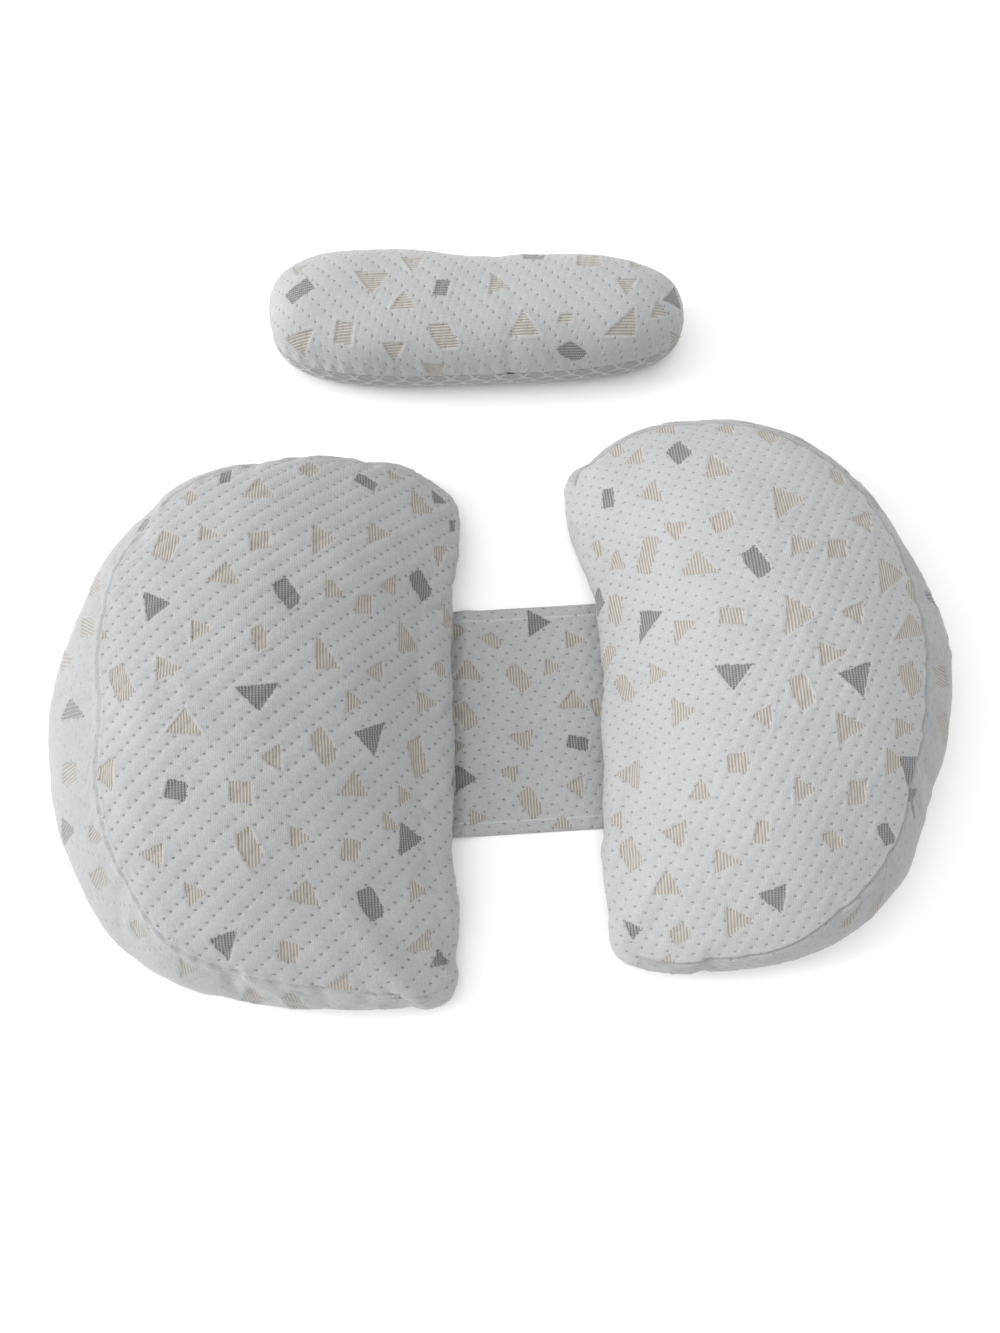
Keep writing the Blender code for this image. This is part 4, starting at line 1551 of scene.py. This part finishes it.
def knit_material(name, turned=False, hem_lines=()):
    """White jacquard knit with tucked dots darkened by painted shade, and sunken chips in beige and grey
    yarn. Its tint also holds painted light and shade.
    """
    lattice, tint_with_painted_light, dot_shade_share, pit, chip_share = KNITS[name]
    nodes = Nodes(name)
    u, v = nodes.pair("fabric")
    beige_far, grey_far = nodes.pair("chips")
    across, along = (v, u) if turned else (u, v)
    step = nodes.cells(u, v, STEP_CELL, STEP_CELL)
    jag = nodes.math("MULTIPLY_ADD", step, STEP_DEPTH, -STEP_DEPTH / 2)
    in_beige = nodes.ramp(nodes.math("ADD", beige_far, jag), CHIP_EDGE, -CHIP_EDGE)
    in_grey = nodes.ramp(nodes.math("ADD", grey_far, jag), CHIP_EDGE, -CHIP_EDGE)
    in_chip = nodes.math("MAXIMUM", in_beige, in_grey)
    rib = nodes.wave(across, RIB_STEP)
    course = nodes.wave(along, COURSE_STEP)
    stripe = nodes.ramp(nodes.wave(across, STRIPE_STEP), *STRIPE_LIMITS)
    rung = nodes.ramp(nodes.wave(along, RUNG_STEP), *RUNG_LIMITS)
    dot = dot_distance(nodes, u, v, lattice, turned)
    # Painted shade in each tucked dot, its strength varying at random
    dot_shade_fading = nodes.math("MULTIPLY_ADD", nodes.noise(DOT_SHADE_PATCH_SIZE), DOT_SHADE_FADING, LEAST_DOT_SHADE, clamp=True)
    painted_dot_shade = nodes.math("MULTIPLY", nodes.ramp(dot, *DOT_SHADE_LIMITS), dot_shade_fading)
    painted_dot_shade = nodes.math("MULTIPLY", painted_dot_shade, nodes.math("SUBTRACT", 1.0, in_chip))

    cloudy = nodes.math("MULTIPLY_ADD", nodes.noise(CLOUD_SIZE), CLOUD_SHADE, -CLOUD_SHADE / 2)
    grain = nodes.cells(u, v, RIB_STEP, COURSE_STEP)
    shade = nodes.math("MULTIPLY_ADD", grain, GRAIN_SHADE, cloudy)
    shade = nodes.math("MULTIPLY_ADD", rib, RIB_SHADE, shade)
    white = nodes.mix(shade, yarn((1.0, 1.0, 1.0), tint_with_painted_light), yarn(SHADE_SHARE, tint_with_painted_light))
    beige = nodes.mix(stripe, yarn(BEIGE_SHARE, tint_with_painted_light), yarn(PALE_BEIGE_SHARE, tint_with_painted_light))
    grid = nodes.math("MULTIPLY", nodes.math("MULTIPLY_ADD", rung, RUNG_SHARE, 1 - RUNG_SHARE), stripe)
    grey = nodes.mix(grid, yarn(GREY_SHARE, tint_with_painted_light), yarn(PALE_GREY_SHARE, tint_with_painted_light))
    for line in hem_lines:
        near = nodes.math("ABSOLUTE", nodes.math("SUBTRACT", v, line))
        white = nodes.mix(nodes.ramp(near, *STITCH_LIMITS), white, yarn(STITCH_SHARE, tint_with_painted_light))
    # The tucked dots take their painted shade
    colour = nodes.mix(painted_dot_shade, white, yarn((dot_shade_share, dot_shade_share, dot_shade_share + 0.01), tint_with_painted_light))
    colour = nodes.mix(nodes.math("MULTIPLY", in_beige, chip_share), colour, beige)
    colour = nodes.mix(nodes.math("MULTIPLY", in_grey, chip_share), colour, grey)

    in_stripe = nodes.math("MULTIPLY", in_chip, stripe)
    height = nodes.math("MULTIPLY", rib, RIB_RISE)
    for part, rise in (
        (course, COURSE_RISE),
        (nodes.ramp(dot, *PIT_LIMITS), -pit),
        (in_stripe, STRIPE_RISE),
        (in_chip, -CHIP_FALL),
        (nodes.noise(FUZZ_SIZE, FUZZ_DETAIL), FUZZ_RISE),
    ):
        height = nodes.math("MULTIPLY_ADD", part, rise, height)
    return nodes.finish(colour, height, roughness=0.86, sheen=0.25)


def honeycomb_material():
    """Raised white rims round cells of grey mesh."""
    nodes = Nodes("honeycomb_knit_look")
    u, v = nodes.pair("fabric")
    wall, _ = nodes.pair("chips")
    on_rim = nodes.ramp(wall, *RIM_LIMITS)
    hole = nodes.math("MULTIPLY", nodes.wave(u, MESH_STEP), nodes.wave(v, MESH_STEP))
    mesh = nodes.mix(nodes.ramp(hole, *HOLE_LIMITS), yarn(MESH_SHARE), yarn(MESH_HOLE_SHARE))
    colour = nodes.mix(on_rim, mesh, yarn(STITCH_SHARE))
    height = nodes.math("MULTIPLY", hole, -HOLE_DEPTH)
    height = nodes.math("MULTIPLY", height, nodes.math("SUBTRACT", 1.0, on_rim))
    height = nodes.math("MULTIPLY_ADD", nodes.noise(MM, FUZZ_DETAIL), MESH_FUZZ, height)
    return nodes.finish(colour, height, roughness=0.8, sheen=0.2)


def make_floor():
    mesh = bpy.data.meshes.new("floor")
    signs = ((-1, -1), (1, -1), (1, 1), (-1, 1))
    corners = [(x * FLOOR_HALF, y * FLOOR_HALF, FLOOR_LEVEL) for x, y in signs]
    mesh.from_pydata(corners, [], [(0, 1, 2, 3)])
    floor = bpy.data.objects.new("floor", mesh)
    bpy.context.scene.collection.objects.link(floor)
    nodes = Nodes("pale_floor")
    colour = nodes.mix(nodes.noise(0.4), *FLOOR_COLOURS)
    nodes.put(nodes.shader.inputs["Base Color"], colour)
    nodes.shader.inputs["Roughness"].default_value = 0.9
    mesh.materials.append(nodes.material)


def make_light():
    """A soft key light from the left, low, a wide one overhead, and an even bright room all round."""
    world = bpy.data.worlds.new("studio")
    bpy.context.scene.world = world
    world.use_nodes = True
    sky = world.node_tree.nodes["Background"]
    sky.inputs["Color"].default_value = (1.0, 1.0, 1.0, 1.0)
    sky.inputs["Strength"].default_value = SKY_STRENGTH
    for name, strength, azimuth, elevation, softness in LAMPS:
        lamp = bpy.data.lights.new(name, "SUN")
        lamp.energy = strength
        lamp.angle = math.radians(softness)
        shown = bpy.data.objects.new(name, lamp)
        bpy.context.scene.collection.objects.link(shown)
        level = math.cos(math.radians(elevation))
        around = math.radians(azimuth)
        height = math.sin(math.radians(elevation))
        away = Vector((math.cos(around) * level, math.sin(around) * level, height))
        shown.rotation_mode = "QUATERNION"
        shown.rotation_quaternion = away.to_track_quat("Z", "Y")
        shown.location = away * 2


def make_camera():
    data = bpy.data.cameras.new("camera")
    data.lens = CAMERA_LENS
    data.sensor_width = SENSOR_SIZE
    camera = bpy.data.objects.new("camera", data)
    bpy.context.scene.collection.objects.link(camera)
    camera.location = CAMERA_PLACE
    looking = Vector(CAMERA_TARGET) - Vector(CAMERA_PLACE)
    camera.rotation_mode = "QUATERNION"
    camera.rotation_quaternion = looking.to_track_quat("-Z", "Y")
    bpy.context.scene.camera = camera


LEFT_WEDGE = {
    "name": "left_wedge",
    "centre": LEFT_CENTRE,
    "sections": LEFT_SECTIONS,
    "corners": LEFT_CORNERS,
    "chips": LEFT_CHIPS,
    "lattice": WIDE_LATTICE,
    "ridge": 0.00041,
    "dimple": 0.00038,
    "groove": 0.0009,
    "seed": 11,
    "gathers": ((308, 0.0012, 10), (46, 0.0006, 8)),
}
RIGHT_WEDGE = {
    "name": "right_wedge",
    "centre": RIGHT_CENTRE,
    "sections": RIGHT_SECTIONS,
    "corners": RIGHT_CORNERS,
    "chips": RIGHT_CHIPS,
    "lattice": TIGHT_LATTICE,
    "ridge": 0.00022,
    "dimple": 0.00026,
    "groove": 0.0017,
    "seed": 21,
    "gathers": ((238, 0.0007, 8), (130, 0.0007, 8)),
}


def main():
    bpy.context.scene.view_settings.view_transform = "Standard"
    make_camera()
    make_light()
    make_floor()
    left_knits = (knit_material("left_top_knit"), knit_material("left_gusset_knit"))
    right_knits = (knit_material("right_top_knit"), knit_material("right_gusset_knit_painted_shade"))
    left, side_chips = make_wedge(LEFT_WEDGE, None, left_knits)
    right, _ = make_wedge(RIGHT_WEDGE, side_chips, right_knits)
    hem_lines = (BAND_FRONT + HEM_WIDTH, BAND_BACK - HEM_WIDTH)
    band = make_band(knit_material("band_knit_look", hem_lines=hem_lines))
    make_small_pillow(knit_material("small_pillow_knit", turned=True))
    make_small_base(honeycomb_material())


main()
